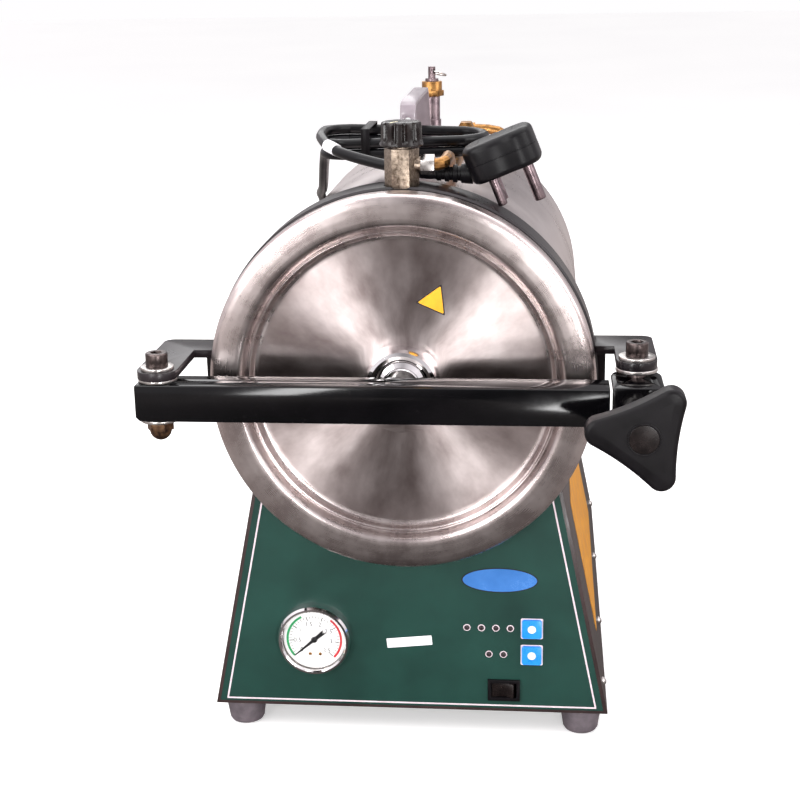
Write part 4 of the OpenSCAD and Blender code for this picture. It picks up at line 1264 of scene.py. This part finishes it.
@dataclass
class MainsCord:
    """The mains cord from the rear gland over the drum's shoulder, through its hank, to the plug."""

    radius: float = 4.2
    rise: tuple = (
        (-100, 528, -222), (-100, 544, -222), (-102, 562, -215), (-106, 573, -195),
        (-110, 576.7, -165), (-114, 576, -125), (-118, 568, -80), (-121, 552, -35), (-123, 528, 5),
        (-122, 500, 36), (-120, 466, 58), (-117, 430, 74), (-113, 395, 82), (-108, 360, 89),
        (-102, 325, 96), (-96, 292, 103), (-91, 262, 111), (-87, 238, 121), (-83, 215, 134),
        (-79.5, 197, 144.5),
    )
    lead: tuple = (
        (-75.5, 152.5, 166.4), (-73, 141, 165), (-66, 123, 162), (-55, 107, 159), (-41, 94, 156.5),
        (-25, 83, 154), (-9, 72, 152), (5, 61, 150.7), (14, 54, 150.1), (20, 52, 150), (24.5, 52, 150),
    )
    middle: tuple = (-11.0, 177.0)
    half: float = 40.0
    bend: float = 25.2
    low: float = 150.2
    turns: int = 2

    def winding(self) -> np.ndarray:
        """The hank's turns: a racetrack of two half circles and two straights that climbs evenly.

        Returns:
            Points from the left end, along the front, round the right end and back.
        """
        a = np.radians(np.arange(180, 361, 22.5))
        back = np.radians(np.arange(0, 181, 22.5))
        left = np.array([self.middle[0] - self.half, self.middle[1]])
        right = np.array([self.middle[0] + self.half, self.middle[1]])
        front_half = left + self.bend * np.stack([np.cos(a), np.sin(a)], 1)[:5]
        right_turn = right + self.bend * np.stack([np.cos(a), np.sin(a)], 1)[4:]
        right_back = right + self.bend * np.stack([np.cos(back), np.sin(back)], 1)[1:5]
        left_back = left + self.bend * np.stack([np.cos(back), np.sin(back)], 1)[4:-1]
        lap = np.vstack([front_half, right_turn, right_back, left_back])
        flat = np.vstack([lap] * self.turns + [lap[:1]])
        step = np.concatenate([[0.0], np.cumsum(np.linalg.norm(np.diff(flat, axis=0), axis=1))])
        height = self.low + 8.45 * self.turns * step / step[-1]
        return np.column_stack([flat, height])

    def build(self, builder: Builder) -> bpy.types.Object:
        """Args:
            builder: Makes the pieces.

        Returns:
            The cord.
        """
        route = np.vstack([np.array(self.rise), self.winding(), np.array(self.lead)])
        path = smooth_path(route, 2.5)
        grid = swept(path, np.full(len(path), self.radius), 14)
        made = builder.piece("mains_cord", grid, CORD_PVC, "machine")
        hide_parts("cord_rise", "cord_hank", "cord_lead")
        return made


# ---------------------------------------------------------------- scene


def dress_frame() -> None:
    """Gives every CAD node its finish, and softens the edges of the plain ones."""
    soft = {
        "crossbar": 0.8, "latch_channel": 0.8, "hinge_bracket": 0.8, "latch_bracket": 0.8,
        "carry_handle": 0.6, "valve_column": 0.5, "brass_fittings": 0.5, "relief_body": 0.5,
        "relief_cap": 0.5, "dome_nuts": 0.5, "pivot_bolts": 0.3, "bolt_washers": 0.3,
        "cabinet_shell": 0.4, "rear_panel": 0.4, "front_panel": 0.4, "switch_housing": 0.5,
        "start_button": 0.5, "select_button": 0.5, "power_rocker": 0.5, "drum_rear_cover": 0.5,
        "cord_tie": 0.4, "latch_bush": 0.3,
    }
    for name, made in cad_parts.items():
        made.data.materials.clear()
        made.data.materials.append(CAD_FINISHES[name].build())
        made.data.shade_smooth()
        if name == "brass_fittings":
            made.data.materials.append(ZINC.build())
            for face in made.data.polygons:
                face.material_index = int(face.center.y < -0.1)
        if name in soft:
            weld = made.modifiers.new("weld", "WELD")
            weld.merge_threshold = 1e-5
            bevel = made.modifiers.new("soft edges", "BEVEL")
            bevel.width = soft[name] / 1000.0
            bevel.segments = 2
            bevel.limit_method = "ANGLE"
            bevel.angle_limit = np.radians(35)
            bevel.harden_normals = True


def add_camera() -> None:
    """Places the camera in front of and a little above the machine, a touch to its right."""
    yaw, pitch, roll = 0.0976, 0.2863, -0.0165
    ahead = Vector((-np.sin(yaw) * np.cos(pitch), np.cos(yaw) * np.cos(pitch), -np.sin(pitch)))
    level = Vector((np.cos(yaw), np.sin(yaw), 0.0))
    above = level.cross(ahead)
    right = np.cos(roll) * level + np.sin(roll) * above
    up = -np.sin(roll) * level + np.cos(roll) * above
    lens = bpy.data.cameras.new("studio camera")
    lens.lens = 68.66
    lens.sensor_width = 36.0
    lens.clip_end = 50.0
    made = bpy.data.objects.new("studio camera", lens)
    turn = Matrix((right, up, -ahead)).transposed().to_4x4()
    made.matrix_world = Matrix.Translation(placed(np.array([104.17, -1070.74, 307.78]))) @ turn
    bpy.context.scene.collection.objects.link(made)
    bpy.context.scene.camera = made


@dataclass
class Studio:
    """The pale floor and the soft lights."""

    panels: tuple = field(
        default=(
            # name, place, aim, width, height, watts
            ("left softbox", (-1.6, -1.3, 1.7), (0.0, -0.1, 0.3), 1.2, 1.6, 36.0),
            ("right softbox", (1.9, -0.9, 1.3), (0.0, 0.0, 0.3), 1.0, 1.4, 18.0),
            ("left strip", (-0.78, -1.95, 0.66), (0.0, -0.2, 0.3), 0.24, 0.7, 13.0),
            ("right strip", (0.62, -2.0, 0.42), (0.0, -0.2, 0.3), 0.24, 0.6, 15.0),
            ("top softbox", (0.1, 0.2, 2.3), (0.0, 0.1, 0.2), 2.2, 2.2, 36.0),
            ("back softbox", (-0.5, 2.4, 1.8), (0.0, 0.3, 0.3), 2.0, 1.4, 22.0),
        )
    )

    def build(self) -> None:
        """Makes the floor, the lights and the room's even fill."""
        mesh = bpy.data.meshes.new("studio_floor")
        reach = 14.0
        corners = [(x * reach, y * reach, 0.0) for x, y in ((-1, -1), (1, -1), (1, 1), (-1, 1))]
        mesh.from_pydata(corners, [], [(0, 1, 2, 3)])
        floor = bpy.data.objects.new("studio_floor", mesh)
        mesh.materials.append(self.floor_paint())
        bpy.context.scene.collection.objects.link(floor)
        for name, place, aim, width, height, watts in self.panels:
            light = bpy.data.lights.new(name, "AREA")
            light.shape = "RECTANGLE"
            light.size = width
            light.size_y = height
            light.energy = watts
            made = bpy.data.objects.new(name, light)
            towards = Vector(aim) - Vector(place)
            turn = towards.to_track_quat("-Z", "Y").to_matrix().to_4x4()
            made.matrix_world = Matrix.Translation(place) @ turn
            bpy.context.scene.collection.objects.link(made)
        world = bpy.data.worlds.new("studio")
        world.use_nodes = True
        self.room(world.node_tree)
        bpy.context.scene.world = world

    def floor_paint(self) -> bpy.types.Material:
        """Pale floor for sight and fill, which reads dark in reflections in front of the machine.

        Returns:
            The material.
        """
        made = FLOOR.build()
        tree = made.node_tree
        shader = next(n for n in tree.nodes if n.type == "BSDF_PRINCIPLED")
        out = next(n for n in tree.nodes if n.type == "OUTPUT_MATERIAL")
        place = add_node(tree, "ShaderNodeNewGeometry", {}, {}).outputs["Position"]
        parts = add_node(tree, "ShaderNodeSeparateXYZ", {}, {"Vector": place})
        sides = add_node(tree, "ShaderNodeMath", {"operation": "ABSOLUTE"}, {0: parts.outputs["X"]})
        spread = add_node(
            tree, "ShaderNodeMapRange", {"From Min": 0.05, "From Max": 0.7, "To Min": 0.09, "To Max": 0.75},
            {"Value": sides.outputs["Value"]},
        )
        dim = add_node(
            tree, "ShaderNodeEmission", {"Color": linear("#e9dfdc")}, {"Strength": spread.outputs["Result"]}
        )
        path = add_node(tree, "ShaderNodeLightPath", {}, {})
        wash = add_node(
            tree, "ShaderNodeMath", {"operation": "MULTIPLY", 1: 0.42}, {0: path.outputs["Is Camera Ray"]}
        )
        tree.links.new(wash.outputs["Value"], shader.inputs["Emission Strength"])
        shader.inputs["Emission Color"].default_value = linear("#ffffff")
        mixed = add_node(
            tree, "ShaderNodeMixShader", {},
            {0: path.outputs["Is Glossy Ray"], 1: shader.outputs["BSDF"], 2: dim.outputs["Emission"]},
        )
        tree.links.new(mixed.outputs["Shader"], out.inputs["Surface"])
        return made

    def room(self, tree: bpy.types.NodeTree) -> None:
        """Lights the room evenly for sight and fill, and darker in front for mirror-like metal.

        Args:
            tree: The world's node tree.
        """
        tree.nodes.clear()
        facing = add_node(tree, "ShaderNodeTexCoord", {}, {}).outputs["Generated"]
        parts = add_node(tree, "ShaderNodeSeparateXYZ", {}, {"Vector": facing})
        sides = add_node(tree, "ShaderNodeMath", {"operation": "ABSOLUTE"}, {0: parts.outputs["X"]})
        spread = add_node(
            tree, "ShaderNodeMapRange", {"From Min": 0.05, "From Max": 0.6, "To Min": 0.07, "To Max": 1.05},
            {"Value": sides.outputs["Value"]},
        )
        lift = add_node(
            tree, "ShaderNodeMapRange", {"From Min": 0.15, "From Max": 0.9, "To Min": 0.0, "To Max": 0.7},
            {"Value": parts.outputs["Z"]},
        )
        glow = add_node(
            tree, "ShaderNodeMath", {"operation": "ADD"},
            {0: spread.outputs["Result"], 1: lift.outputs["Result"]},
        )
        mirror = add_node(
            tree, "ShaderNodeBackground", {"Color": linear("#f3eef2")}, {"Strength": glow.outputs["Value"]}
        )
        path = add_node(tree, "ShaderNodeLightPath", {}, {})
        seen = add_node(
            tree, "ShaderNodeMath", {"operation": "MULTIPLY_ADD", 1: 0.4, 2: 0.62},
            {0: path.outputs["Is Camera Ray"]},
        )
        even = add_node(
            tree, "ShaderNodeBackground", {"Color": linear("#fdfcfd")}, {"Strength": seen.outputs["Value"]}
        )
        mixed = add_node(
            tree, "ShaderNodeMixShader", {},
            {
                0: path.outputs["Is Glossy Ray"],
                1: even.outputs["Background"],
                2: mirror.outputs["Background"],
            },
        )
        add_node(tree, "ShaderNodeOutputWorld", {}, {"Surface": mixed.outputs["Shader"]})


def main() -> None:
    """Builds the camera, the cord, the finishes and the new pieces in order."""
    logging.basicConfig(level=logging.INFO, format="%(message)s")
    bpy.context.scene.view_settings.view_transform = "Standard"
    builder = Builder()
    add_camera()
    dress_frame()
    Lid().build(builder)
    ClampKnob().build(builder)
    ValveKnob().build(builder)
    Plug().build(builder)
    MainsCord().build(builder)
    PanelPrint().build(builder)
    GaugePrint().build(builder)
    Small().build(builder)
    Studio().build()


if __name__ == "__main__":
    main()
